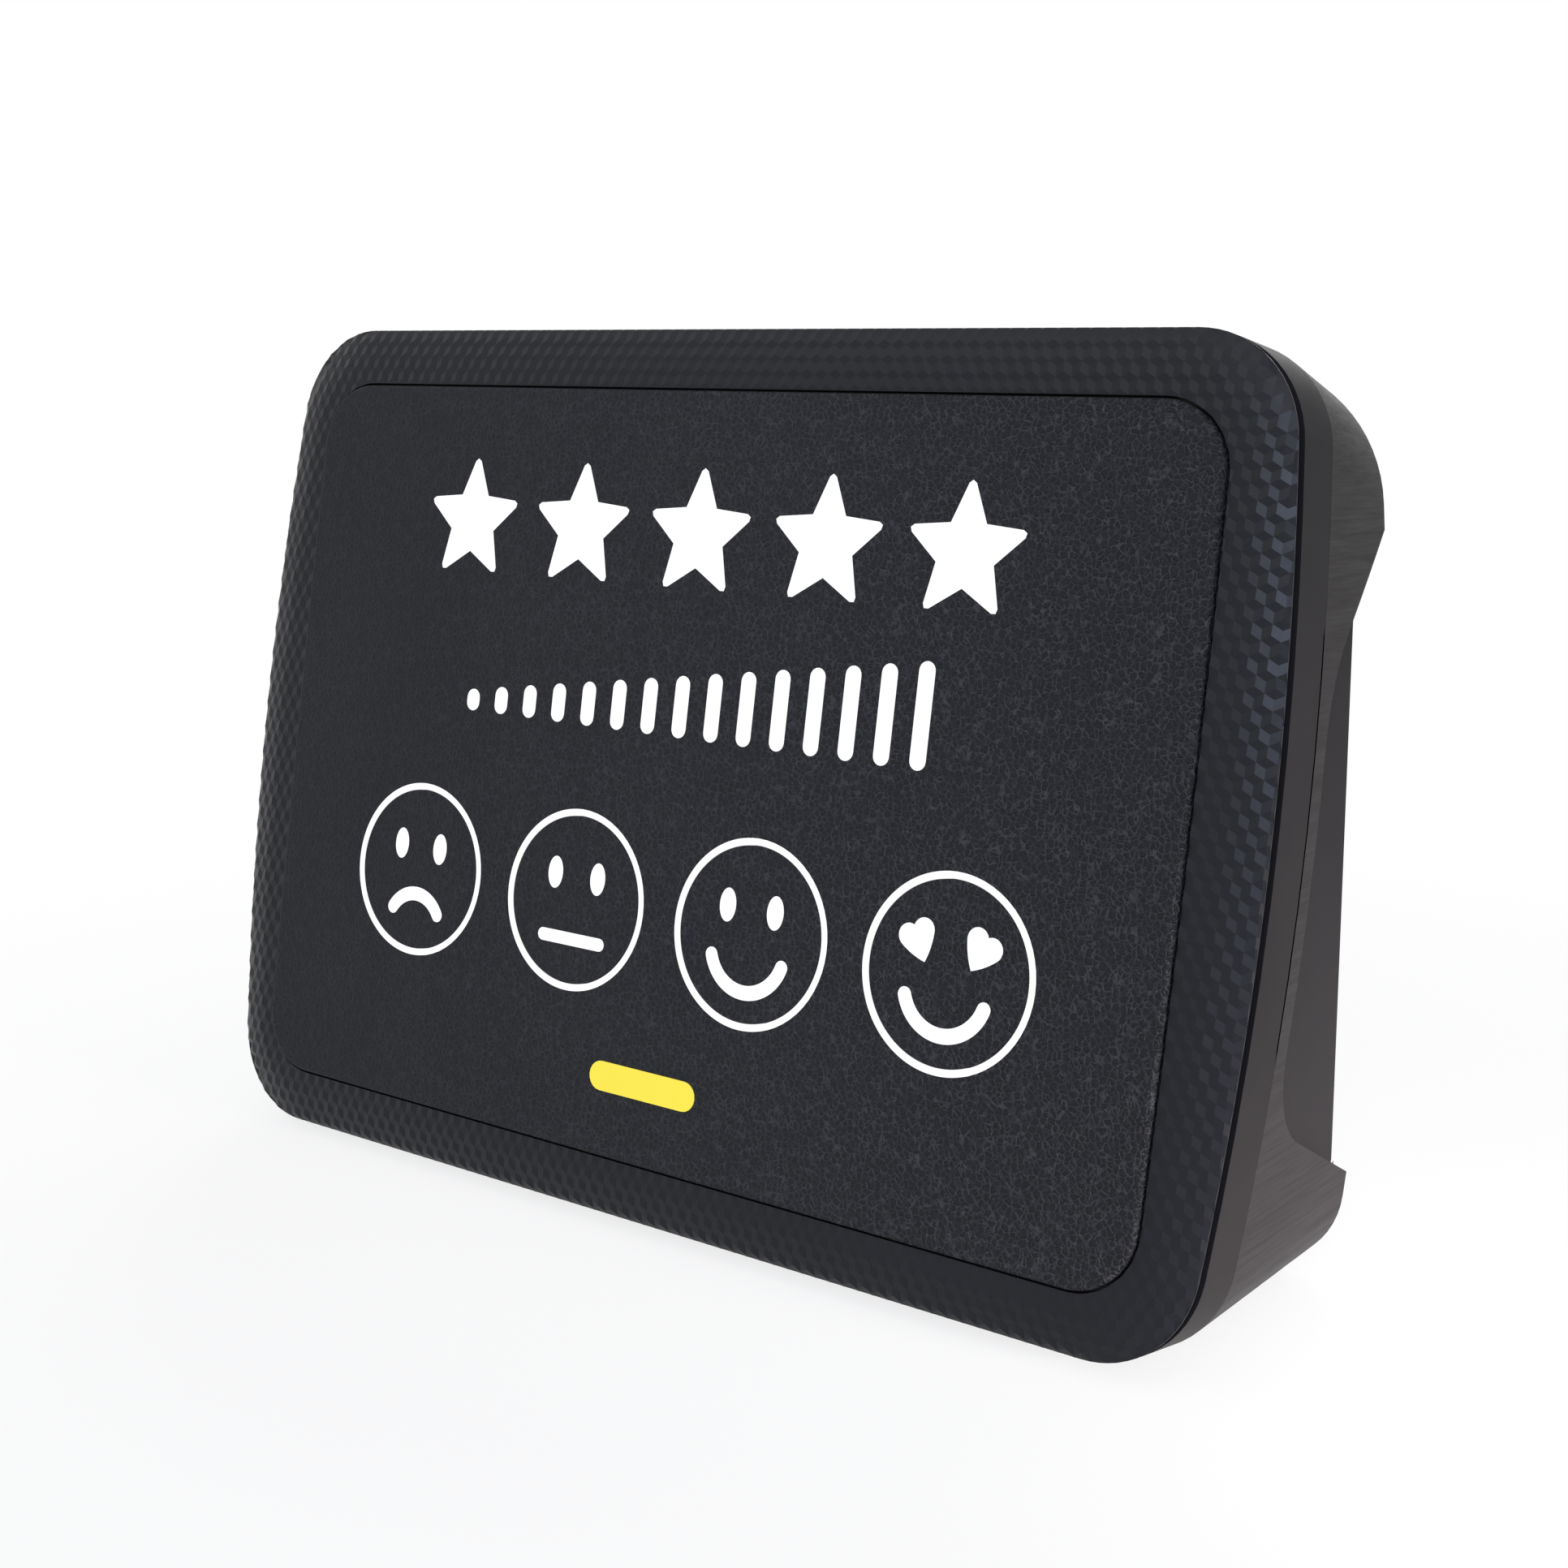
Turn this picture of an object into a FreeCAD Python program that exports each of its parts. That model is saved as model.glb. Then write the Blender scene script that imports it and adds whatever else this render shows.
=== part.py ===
import FreeCAD, Part
import math
import os

# Customer feedback button terminal: a wedge-shaped counter and wall unit with four lit round keys.
# All sizes are in millimetres.
# Face frame: X runs to the right, Y runs into the unit square to its leaning face, and Z runs up
# along the face. Its origin is the middle of the row of keys, on the front of the panel.
# Standing frame: the same origin, turned so that the back is upright and the base is level.

# Lean of the face from upright
lean_deg = 11.0

# Outline of the face, shared by the bezel, the middle frame and the front of the rear shell
face_half_width = 110.2
face_low = -54.1
face_high = 101.6
face_corner = 18.0
face_side_radius = 591.0

# Front panel, as wide and high as the bezel leaves free
bezel_side_width = 12.5
bezel_low_width = 10.4
bezel_high_width = 10.9
panel_corner = 11.3
panel_side_radius = 3450.0
panel_thick = 2.4
panel_edge_round = 0.7
panel_gap = 0.45

# Bezel, whose outer margin falls away from the panel in two slopes
bezel_front = 0.8
bezel_flat_in = 7.1
bezel_shoulder_in = 5.6
bezel_shoulder_drop = 0.1
bezel_slope_in = 2.2
bezel_slope_drop = 0.85
bezel_rim_drop = 1.5
bezel_rim_thick = 0.7
bezel_ledge_width = 3.0
bezel_ledge_thick = 1.6
bezel_tongue_in = 2.2
bezel_tongue_thick = 1.8
bezel_tongue_back = 9.0

# Seal in the dark groove between the bezel and the middle frame
groove_width = 2.0
seal_in = 1.1
seal_thick = 1.05

# Middle frame, and the two flanges that are screwed together inside it and inside the rear shell
frame_depth = 9.7
frame_wall = 2.0
flange_thick = 1.5
flange_reach = 9.0
joint_gap = 0.05

# Keys and their light rings
key_pitch = 39.7
key_names = ("poor", "fair", "good", "great")
key_travel = 0.8
ring_outer_r = 16.2
ring_inner_r = 15.06
ring_depth = 5.9
ring_flange_r = 17.5
ring_flange_thick = 1.0
ring_hole_clearance = 0.03
key_side_clearance = 0.1
key_skin = 1.2
key_skirt_wall = 1.2
key_edge = 0.12
key_flange_r = 17.0
key_flange_thick = 1.0
key_flange_gap = 0.15
core_disc_thick = 1.6
core_side_clearance = 0.1
core_post_r = 3.0
core_rib_thick = 1.2
core_rib_depth = 2.4
core_rib_setback = 0.5
core_rib_turns = (0, 60, 120)

# Light box behind the panel
diffuser_thick = 0.5
diffuser_hole_r = 17.9
layer_gap = 0.05
baffle_margin = 3.4
baffle_depth = 8.2
baffle_well_r = 18.3
window_corner = 4.0
upper_window = (-68.0, 68.0, 56.0, 79.0)
lower_window = (-54.0, 54.0, 27.0, 50.0)
lamp_window = (-15.0, 15.0, -37.0, -23.0)

# Light board with its lamps and switches
board_thick = 1.6
light_board_in = 3.5
lamp_size = (3.5, 2.8, 0.8)
lamps_per_key = 6
lamp_ring_r = 12.0
lamps_per_row = 8
switch_size = 12.0
switch_corner = 1.0
switch_height = 2.8
switch_bore_r = 3.6
switch_bore_depth = 2.4
stem_r = 3.3
stem_length = 2.6
stem_reserve = 0.6
stem_edge = 0.4

# Rear shell: it tapers from the face outline to a smaller rim, which leans back a little
back_plane = 49.4
rim_lean_deg = 1.6
back_side_in = 1.3
back_low_drop = 1.8
back_high_in = 8.6
back_corner = 23.2
back_low_corner = 15.9
shell_wall = 2.5

# Scoop in each side of the rear shell, as seen from the side in the face frame
waist_depth = 18.5
waist_low = -4.4
waist_high = 41.7
scoop_upper_r = 30.0
scoop_upper_turn_deg = 37.8
scoop_lower_r = 16.0
scoop_ramp_deg = 17.1
scoop_lip = 1.9

# Back cover: a tray whose sides show through the scoops
cover_side_in = 5.3
cover_wall = 2.2
cover_plate_thick = 2.4
cover_recess = 1.2
cover_clearance = 0.3
cover_edge_round = 1.0

# Cover screws and their bosses in the rear shell
boss_r = 4.2
boss_from_wall = 5.6
boss_depth = 10.0
boss_side_in = 28.9
boss_web_thick = 2.4
boss_web_into_wall = 2.0
cover_screw_r = 1.5
cover_screw_length = 9.5
cover_head_r = 2.9
cover_head_thick = 1.6
cover_head_recess = 1.2
head_clearance = 0.2
screw_hole_clearance = 0.1
screw_pilot_clearance = 0.05
screw_head_edge = 0.4
screw_slot_width = 0.8

# Flange screws
flange_screw_r = 1.25
flange_head_r = 1.9
flange_head_thick = 1.5
flange_screw_in = 5.6
flange_side_screw_in = 5.0
flange_corner_x = 50.2
flange_corner_z = 28.0

# Main board on four posts of the back cover
main_board_size = (124.0, 78.0)
main_board_z = 22.0
main_board_standoff = 9.0
main_post_r = 3.2
main_post_in = 5.0
main_screw_r = 1.25
main_head_r = 2.4
main_head_thick = 1.4
main_screw_length = 6.0
main_board_corner = 3.0
processor_size = (14.0, 14.0, 1.5)
processor_place = (-26.0, -6.0)
radio_size = (24.0, 17.0, 2.8)
radio_place = (30.0, -10.0)
cell_r = 10.0
cell_thick = 3.2
cell_place = (-30.0, 10.0)
cell_holder_wall = 1.5
cell_holder_gap = 0.1
cell_holder_rise = 0.6
cell_holder_mouth = 10.0
buzzer_r = 6.0
buzzer_height = 7.0
buzzer_hole_r = 1.2
buzzer_hole_depth = 2.0
buzzer_place = (10.0, -18.0)
capacitor_r = 4.0
capacitor_height = 8.1
capacitor_place = (34.0, -20.0)
capacitor_count = 2
capacitor_pitch = 10.0
connector_size = (22.0, 6.0, 5.0)

# Ribbon between the two boards
ribbon_width = 18.0
ribbon_thick = 0.4
ribbon_gap = 0.3
ribbon_offset_low = 4.0
ribbon_offset_high = 24.0

# Wall keyholes
keyhole_pitch = 150.0
keyhole_z = 58.0
keyhole_entry_r = 4.5
keyhole_slot_r = 2.3
keyhole_rise = 9.0

# Vent slots
vent_count = 12
vent_pitch = 6.0
vent_width = 2.4
vent_height = 16.0
vent_z = -22.0

# Power inlet and power rocker, side by side low on the back
inlet_x = -62.0
service_z = -34.0
inlet_body = (9.0, 11.0, 13.0)
inlet_corner = 1.0
inlet_nose_setback = 0.2
inlet_nose_clearance = 0.1
inlet_nose_r = 4.0
inlet_bore_r = 2.9
inlet_bore_depth = 9.5
inlet_pin_r = 1.05
inlet_pin_setback = 1.0
rocker_x = 58.0
rocker_frame = (21.0, 15.0)
rocker_body = (19.0, 12.8, 13.0)
rocker_pad = (15.6, 9.6)
rocker_throw_deg = 20.0
rocker_clearance = 0.35
rocker_thick = 4.4
rocker_valley = 0.3
rocker_edge_drop = 0.2
rocker_foot_share = 0.86
rocker_foot_rise = 1.0
rocker_pocket_reserve = 2.0
rocker_frame_corner = 1.2
rocker_frame_setback = 0.1
rocker_hole_clearance = 0.2
rocker_axle_r = 1.2
rocker_axle_depth = 1.2
rocker_axle_seat = 1.0
rocker_axle_end_gap = 0.3
rocker_axle_clearance = 0.08

# Rubber feet under the level base
foot_r = 6.0
foot_thick = 1.8
foot_proud = 0.8
foot_edge = 0.4
foot_seat_gap = 0.05
foot_side_in = 24.9
foot_front = 12.0
foot_back = 39.5

# Sizes that follow from the ones above
panel_half_width = face_half_width - bezel_side_width
panel_low = face_low + bezel_low_width
panel_high = face_high - bezel_high_width
back_half_width = face_half_width - back_side_in
back_low = face_low - back_low_drop
back_high = face_high - back_high_in
cover_half_width = back_half_width - cover_side_in
boss_columns = (boss_side_in - back_half_width, 0.0, back_half_width - boss_side_in)
foot_x = back_half_width - foot_side_in
face_back = bezel_front + bezel_rim_drop + bezel_rim_thick
frame_front = face_back + groove_width
frame_back = frame_front + frame_depth
diffuser_front = panel_thick + layer_gap
baffle_front = diffuser_front + diffuser_thick + layer_gap
baffle_back = baffle_front + baffle_depth
flange_front = frame_back - flange_thick
light_board_front = flange_front - layer_gap - board_thick
shell_front = frame_back + joint_gap
shell_flange_back = shell_front + flange_thick
plate_back = back_plane - cover_recess
plate_front = plate_back - cover_plate_thick
key_xs = [(place - (len(key_names) - 1) / 2) * key_pitch for place in range(len(key_names))]
stem_front = light_board_front - switch_height - key_travel - stem_reserve

# Reach of the tools that cut right through, and how far a short cut overruns its face
far = 400.0
overrun = 1.0
tiny = 1e-6


class Outline:
    """Rounded rectangle whose sides bow outwards, given as half width, ends, corner and side radius."""

    def __init__(self, half_width, low, high, corner, side_radius, low_corner=None):
        self.half_width = half_width
        self.low = low
        self.high = high
        self.corner = corner
        self.low_corner = low_corner or corner
        self.side_radius = side_radius

    def inset(self, distance):
        return Outline(
            self.half_width - distance,
            self.low + distance,
            self.high - distance,
            self.corner - distance,
            self.side_radius - distance,
            self.low_corner - distance,
        )

    def wire(self, y):
        """Closed wire of four corners, two bowed sides and two straight ends, at depth y."""
        middle = 0.5 * (self.low + self.high)
        centre_x = self.half_width - self.side_radius

        def place(side, x, z):
            return FreeCAD.Vector(side * x, y, z)

        def corner_arc(side, up):
            corner = self.corner if up > 0 else self.low_corner
            rise = 0.5 * (self.high - self.low) - corner
            corner_x = centre_x + math.sqrt((self.side_radius - corner) ** 2 - rise ** 2)
            side_angle = math.atan2(rise, corner_x - centre_x)
            points = []
            for angle in (math.pi / 2, (math.pi / 2 + side_angle) / 2, side_angle):
                x = corner_x + corner * math.cos(angle)
                z = middle + up * (rise + corner * math.sin(angle))
                points.append(place(side, x, z))
            return points

        def arc(start, mid, end):
            return Part.Arc(start, mid, end).toShape()

        right_top = corner_arc(1, 1)
        right_low = corner_arc(1, -1)
        left_top = corner_arc(-1, 1)
        left_low = corner_arc(-1, -1)
        edges = [
            Part.LineSegment(left_top[0], right_top[0]).toShape(),
            arc(right_top[0], right_top[1], right_top[2]),
            arc(right_top[2], place(1, self.half_width, middle), right_low[2]),
            arc(right_low[2], right_low[1], right_low[0]),
            Part.LineSegment(right_low[0], left_low[0]).toShape(),
            arc(left_low[0], left_low[1], left_low[2]),
            arc(left_low[2], place(-1, self.half_width, middle), left_top[2]),
            arc(left_top[2], left_top[1], left_top[0]),
        ]
        return Part.Wire(edges)

    def prism(self, front, back):
        return Part.Face(self.wire(front)).extrude(FreeCAD.Vector(0, back - front, 0))


face_outline = Outline(face_half_width, face_low, face_high, face_corner, face_side_radius)
panel_outline = Outline(panel_half_width, panel_low, panel_high, panel_corner, panel_side_radius)
back_outline = Outline(
    back_half_width, back_low, back_high, back_corner, face_side_radius, back_low_corner
)


def stand(shape):
    """Turn a shape from the face frame into the standing frame."""
    turned = shape.copy()
    turned.rotate(FreeCAD.Vector(0, 0, 0), FreeCAD.Vector(1, 0, 0), -lean_deg)
    return turned


def block(x0, x1, y0, y1, z0, z1):
    return Part.makeBox(x1 - x0, y1 - y0, z1 - z0, FreeCAD.Vector(x0, y0, z0))


def rod(radius, y0, y1, x=0.0, z=0.0):
    """Cylinder along Y from y0 to y1."""
    return Part.makeCylinder(radius, y1 - y0, FreeCAD.Vector(x, y0, z), FreeCAD.Vector(0, 1, 0))


def tube(outer, inner, y0, y1, x=0.0, z=0.0):
    return rod(outer, y0, y1, x, z).cut(rod(inner, y0 - overrun, y1 + overrun, x, z))


def rounded_block(x0, x1, y0, y1, z0, z1, radius):
    """Block whose four edges along Y are rounded."""
    body = block(x0, x1, y0, y1, z0, z1)
    edges = [edge for edge in body.Edges if abs(edge.Vertexes[0].Y - edge.Vertexes[1].Y) > tiny]
    return body.makeFillet(radius, edges)


def ring_between(outer, inner, y0, y1):
    return outer.prism(y0, y1).cut(inner.prism(y0 - overrun, y1 + overrun))


def loft(wires):
    return Part.makeLoft(wires, True, True)


def merged(shapes):
    """Fuse touching shapes into one solid."""
    body = shapes[0]
    for shape in shapes[1:]:
        body = body.fuse(shape)
    return body.removeSplitter()


def screw(shank_r, head_r, head_thick, length, x, y, z):
    """Pan-head screw along Y with its head's underside at y and its tip towards the front."""
    shank = rod(shank_r, y - length, y, x, z)
    head = rod(head_r, y, y + head_thick, x, z)
    rims = [edge for edge in head.Edges if edge.BoundBox.YMin > y + head_thick - tiny]
    head = head.makeChamfer(screw_head_edge, rims)
    half = screw_slot_width / 2
    end = y + head_thick
    slot = block(x - half, x + half, end - head_thick / 2, end + overrun, z - head_r, z + head_r)
    return merged([shank, head]).cut(slot)


def make_front_panel():
    """Panel with a softened front edge and a hole for each light ring."""
    body = panel_outline.prism(0, panel_thick)
    edges = [edge for edge in body.Edges if edge.BoundBox.YMax < tiny]
    body = body.makeFillet(panel_edge_round, edges)
    for x in key_xs:
        body = body.cut(rod(ring_outer_r + ring_hole_clearance, -overrun, panel_thick + overrun, x))
    return body


def make_bezel():
    """Crowned frame with a ledge behind the panel and a tongue inside the middle frame."""
    shoulder = bezel_front + bezel_shoulder_drop
    slope = bezel_front + bezel_slope_drop
    rim = bezel_front + bezel_rim_drop
    crown = loft([
        face_outline.inset(bezel_flat_in).wire(bezel_front),
        face_outline.inset(bezel_shoulder_in).wire(shoulder),
        face_outline.inset(bezel_slope_in).wire(slope),
        face_outline.wire(rim),
        face_outline.wire(face_back),
    ])
    seat = panel_thick + layer_gap
    opening = panel_outline.inset(-panel_gap).prism(bezel_front - overrun, seat)
    ledge = face_outline.inset(bezel_tongue_in).prism(seat, seat + bezel_ledge_thick)
    tongue = ring_between(
        face_outline.inset(bezel_tongue_in),
        face_outline.inset(bezel_tongue_in + bezel_tongue_thick),
        seat,
        bezel_tongue_back,
    )
    body = crown.cut(opening).fuse([ledge, tongue])
    body = body.cut(panel_outline.inset(bezel_ledge_width).prism(-overrun, far))
    return body.removeSplitter()


def make_groove_seal():
    outer = face_outline.inset(seal_in)
    return ring_between(outer, outer.inset(seal_thick), face_back, frame_front)


def make_middle_frame():
    """Band round the unit."""
    return ring_between(face_outline, face_outline.inset(frame_wall), frame_front, frame_back)


def screwed_flange(outer, front, back, hole_r):
    """Flat flange from an outline to the common inner reach, with a hole for each flange screw."""
    body = ring_between(outer, face_outline.inset(flange_reach), front, back)
    for x, z in flange_screw_places():
        body = body.cut(rod(hole_r, front - overrun, back + overrun, x, z))
    return body


def make_frame_flange():
    """Flange inside the middle frame that carries the light board and the rear shell."""
    pilot_r = flange_screw_r - screw_pilot_clearance
    return screwed_flange(face_outline.inset(frame_wall), flange_front, frame_back, pilot_r)


def make_shell_flange():
    """Flange inside the front edge of the rear shell, tapered as the shell's walls are."""
    hole_r = flange_screw_r + screw_hole_clearance
    flange = screwed_flange(face_outline, shell_front, shell_flange_back, hole_r)
    return stand(flange).common(shell_loft(shell_wall + layer_gap))


def flange_screw_places():
    """Screw places on the flange: two along each end and two down each side."""
    places = []
    end_x = face_half_width - flange_corner_x
    for x in (-end_x, end_x):
        places.append((x, face_high - flange_screw_in))
        places.append((x, face_low + flange_screw_in))
    middle = 0.5 * (face_low + face_high)
    for z in (face_low + flange_corner_z, face_high - flange_corner_z):
        radius = face_side_radius - flange_side_screw_in
        side_x = face_half_width - face_side_radius + math.sqrt(radius ** 2 - (z - middle) ** 2)
        places.append((side_x, z))
        places.append((-side_x, z))
    return places


def make_flange_screws():
    length = 2 * flange_thick + joint_gap
    shank_r = flange_screw_r - screw_pilot_clearance
    return Part.makeCompound([
        screw(shank_r, flange_head_r, flange_head_thick, length, x, shell_flange_back, z)
        for x, z in flange_screw_places()
    ])


def make_light_ring(x):
    """Clear tube round a key, with the flange that stops it behind the panel."""
    body = tube(ring_outer_r, ring_inner_r, 0, ring_depth, x)
    front = panel_thick + layer_gap
    return merged([body, tube(ring_flange_r, ring_inner_r, front, front + ring_flange_thick, x)])


def make_key_cap(x):
    """Round cap with a skirt, and a flange that stops it behind its light ring."""
    radius = ring_inner_r - key_side_clearance
    flange_at = ring_depth + key_flange_gap
    flange_end = flange_at + key_flange_thick
    body = rod(radius, 0, flange_end, x)
    rims = [edge for edge in body.Edges if edge.BoundBox.YMax < tiny]
    body = body.makeChamfer(key_edge, rims)
    body = body.fuse(rod(key_flange_r, flange_at, flange_end, x)).removeSplitter()
    return body.cut(rod(radius - key_skirt_wall, key_skin, flange_end + overrun, x))


def make_key_core(x):
    """White insert that carries light to the cap and pushes the switch."""
    radius = ring_inner_r - key_side_clearance - key_skirt_wall - core_side_clearance
    back = key_skin + core_disc_thick
    disc = rod(radius, key_skin, back, x)
    post = rod(core_post_r, key_skin, stem_front, x)
    reach = radius - core_rib_setback
    half = core_rib_thick / 2
    ribs = []
    for turn in core_rib_turns:
        rib = block(x - reach, x + reach, key_skin, back + core_rib_depth, -half, half)
        rib.rotate(FreeCAD.Vector(x, 0, 0), FreeCAD.Vector(0, 1, 0), turn)
        ribs.append(rib)
    return merged([disc, post] + ribs)


def make_switch_stem(x):
    body = rod(stem_r, stem_front, stem_front + stem_length, x)
    tip = [edge for edge in body.Edges if edge.BoundBox.YMin > stem_front + stem_length - tiny]
    return body.makeChamfer(stem_edge, tip)


def make_switch_bodies():
    """One square push switch behind each key."""
    half = switch_size / 2
    front = light_board_front - switch_height
    bodies = []
    for x in key_xs:
        body = rounded_block(x - half, x + half, front, light_board_front, -half, half, switch_corner)
        bodies.append(body.cut(rod(switch_bore_r, front - overrun, front + switch_bore_depth, x)))
    return Part.makeCompound(bodies)


def windows():
    return (upper_window, lower_window, lamp_window)


def make_diffuser_sheet():
    front = diffuser_front
    body = panel_outline.inset(baffle_margin).prism(front, front + diffuser_thick)
    for x in key_xs:
        body = body.cut(rod(diffuser_hole_r, front - overrun, front + diffuser_thick + overrun, x))
    return body


def make_light_baffle():
    """White moulding with a well behind each key and a window behind each lit area."""
    body = panel_outline.inset(baffle_margin).prism(baffle_front, baffle_back)
    front = baffle_front - overrun
    back = baffle_back + overrun
    for x in key_xs:
        body = body.cut(rod(baffle_well_r, front, back, x))
    for x0, x1, z0, z1 in windows():
        body = body.cut(rounded_block(x0, x1, front, back, z0, z1, window_corner))
    return body


def make_light_board():
    board = face_outline.inset(light_board_in + frame_wall)
    return board.prism(light_board_front, light_board_front + board_thick)


def make_lamps():
    """Small lamps round each key and in rows behind the lit windows."""
    width, height, thick = lamp_size
    places = []
    for x in key_xs:
        for step in range(lamps_per_key):
            angle = 2 * math.pi * (step + 0.5) / lamps_per_key
            places.append((x + lamp_ring_r * math.cos(angle), lamp_ring_r * math.sin(angle)))
    for x0, x1, z0, z1 in windows():
        count = max(2, round(lamps_per_row * (x1 - x0) / (upper_window[1] - upper_window[0])))
        for step in range(count):
            places.append((x0 + (x1 - x0) * (step + 0.5) / count, 0.5 * (z0 + z1)))
    back = light_board_front
    return Part.makeCompound([
        block(x - width / 2, x + width / 2, back - thick, back, z - height / 2, z + height / 2)
        for x, z in places
    ])


def shell_loft(inset, back_extra=0.0):
    """Tapered body between the face outline and the rim at the back, in the standing frame."""
    front = stand(face_outline.inset(inset).wire(shell_front))
    depth = back_plane + back_extra
    back = back_outline.inset(inset).wire(depth)
    back.rotate(FreeCAD.Vector(0, depth, 0), FreeCAD.Vector(1, 0, 0), -rim_lean_deg)
    return loft([front, back])


def scoop_cutter(grow):
    """Side scoops as a pair of tools in the standing frame, grown outwards by the lip's thickness."""
    waist = waist_depth - grow
    upper_centre = (waist_depth + scoop_upper_r, waist_high)
    upper_r = scoop_upper_r + grow
    lower_centre = (waist_depth + scoop_lower_r, waist_low)
    lower_r = scoop_lower_r + grow
    upper_end_angle = math.pi - math.radians(scoop_upper_turn_deg)
    lower_end_angle = math.radians(270 - scoop_ramp_deg)

    def spot(centre, radius, angle):
        return FreeCAD.Vector(0, centre[0] + radius * math.cos(angle), centre[1] + radius * math.sin(angle))

    top = spot(upper_centre, upper_r, upper_end_angle)
    upper_mid = spot(upper_centre, upper_r, (math.pi + upper_end_angle) / 2)
    ramp_start = spot(lower_centre, lower_r, lower_end_angle)
    lower_mid = spot(lower_centre, lower_r, (math.pi + lower_end_angle) / 2)
    reach = 2 * back_plane
    ramp_fall = (reach - ramp_start.y) * math.tan(math.radians(scoop_ramp_deg))
    ramp_end = FreeCAD.Vector(0, reach, ramp_start.z - ramp_fall)
    tangent = (math.sin(upper_end_angle), -math.cos(upper_end_angle))
    top_run = reach - top.y
    top_end = FreeCAD.Vector(0, reach, top.z + top_run * tangent[1] / tangent[0])
    waist_top = FreeCAD.Vector(0, waist, waist_high)
    waist_bottom = FreeCAD.Vector(0, waist, waist_low)
    wire = Part.Wire([
        Part.LineSegment(waist_bottom, waist_top).toShape(),
        Part.Arc(waist_top, upper_mid, top).toShape(),
        Part.LineSegment(top, top_end).toShape(),
        Part.LineSegment(top_end, ramp_end).toShape(),
        Part.LineSegment(ramp_end, ramp_start).toShape(),
        Part.Arc(ramp_start, lower_mid, waist_bottom).toShape(),
    ])
    inner = cover_half_width + cover_clearance
    tool = Part.Face(wire).extrude(FreeCAD.Vector(far, 0, 0))
    tool.translate(FreeCAD.Vector(inner, 0, 0))
    right = stand(tool)
    return [right, right.mirror(FreeCAD.Vector(0, 0, 0), FreeCAD.Vector(1, 0, 0))]


def boss_places():
    """Places of the cover bosses on the back: a row under the top wall and one over the base."""
    top = back_high - shell_wall - boss_from_wall
    base = back_low + shell_wall + boss_from_wall
    return [(x, z) for z in (top, base) for x in boss_columns]


def make_boss(x, z):
    """Round boss with a web to the nearest wall of the rear shell."""
    back = plate_front - layer_gap
    front = back - boss_depth
    post = rod(boss_r, front, back, x, z)
    half = boss_web_thick / 2
    reach = boss_from_wall + boss_web_into_wall
    if z > 0:
        web = block(x - half, x + half, front, back, z, z + reach)
    else:
        web = block(x - half, x + half, front, back, z - reach, z)
    pilot = rod(cover_screw_r, plate_front - cover_screw_length, back_plane, x, z)
    return merged([post, web]).cut(pilot)


def make_shell_bosses():
    """Bosses that take the cover screws, cut to the inside of the rear shell's walls."""
    inside = shell_loft(shell_wall + layer_gap)
    return Part.makeCompound([make_boss(x, z).common(inside) for x, z in boss_places()])


def make_rear_shell():
    """Tapered shell with a scoop in each side, each with a lip as thick as a wall."""
    outer = shell_loft(0.0)
    cavity = shell_loft(shell_wall, back_extra=overrun)
    for tool in scoop_cutter(scoop_lip):
        cavity = cavity.cut(tool)
    body = outer.cut(cavity)
    for tool in scoop_cutter(0.0):
        body = body.cut(tool)
    for x, y in foot_places():
        body = body.cut(foot_solid(x, y, foot_seat_gap))
    return body.removeSplitter()


def foot_places():
    return [(x, y) for x in (-foot_x, foot_x) for y in (foot_front, foot_back)]


def foot_solid(x, y, clearance):
    low = back_low - foot_proud
    height = foot_thick + clearance
    return Part.makeCylinder(foot_r + clearance, height, FreeCAD.Vector(x, y, low), FreeCAD.Vector(0, 0, 1))


def make_rubber_feet():
    feet = []
    for x, y in foot_places():
        foot = foot_solid(x, y, 0.0)
        rim = [edge for edge in foot.Edges if edge.BoundBox.ZMax < back_low - foot_proud + tiny]
        feet.append(foot.makeChamfer(foot_edge, rim))
    return Part.makeCompound(feet)


def keyhole_cutter(x):
    """Round entry with a narrow slot above it, for a screw head in the wall."""
    y0 = plate_front - overrun
    y1 = back_plane + overrun
    entry = rod(keyhole_entry_r, y0, y1, x, keyhole_z)
    end = rod(keyhole_slot_r, y0, y1, x, keyhole_z + keyhole_rise)
    slot = block(x - keyhole_slot_r, x + keyhole_slot_r, y0, y1, keyhole_z, keyhole_z + keyhole_rise)
    return merged([entry, slot, end])


def vent_cutter(x):
    """Upright slot with round ends."""
    y0 = plate_front - overrun
    y1 = back_plane + overrun
    half = vent_width / 2
    straight = vent_height / 2 - half
    ends = [rod(half, y0, y1, x, vent_z + side * straight) for side in (-1, 1)]
    middle = block(x - half, x + half, y0, y1, vent_z - straight, vent_z + straight)
    return merged([middle] + ends)


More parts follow.
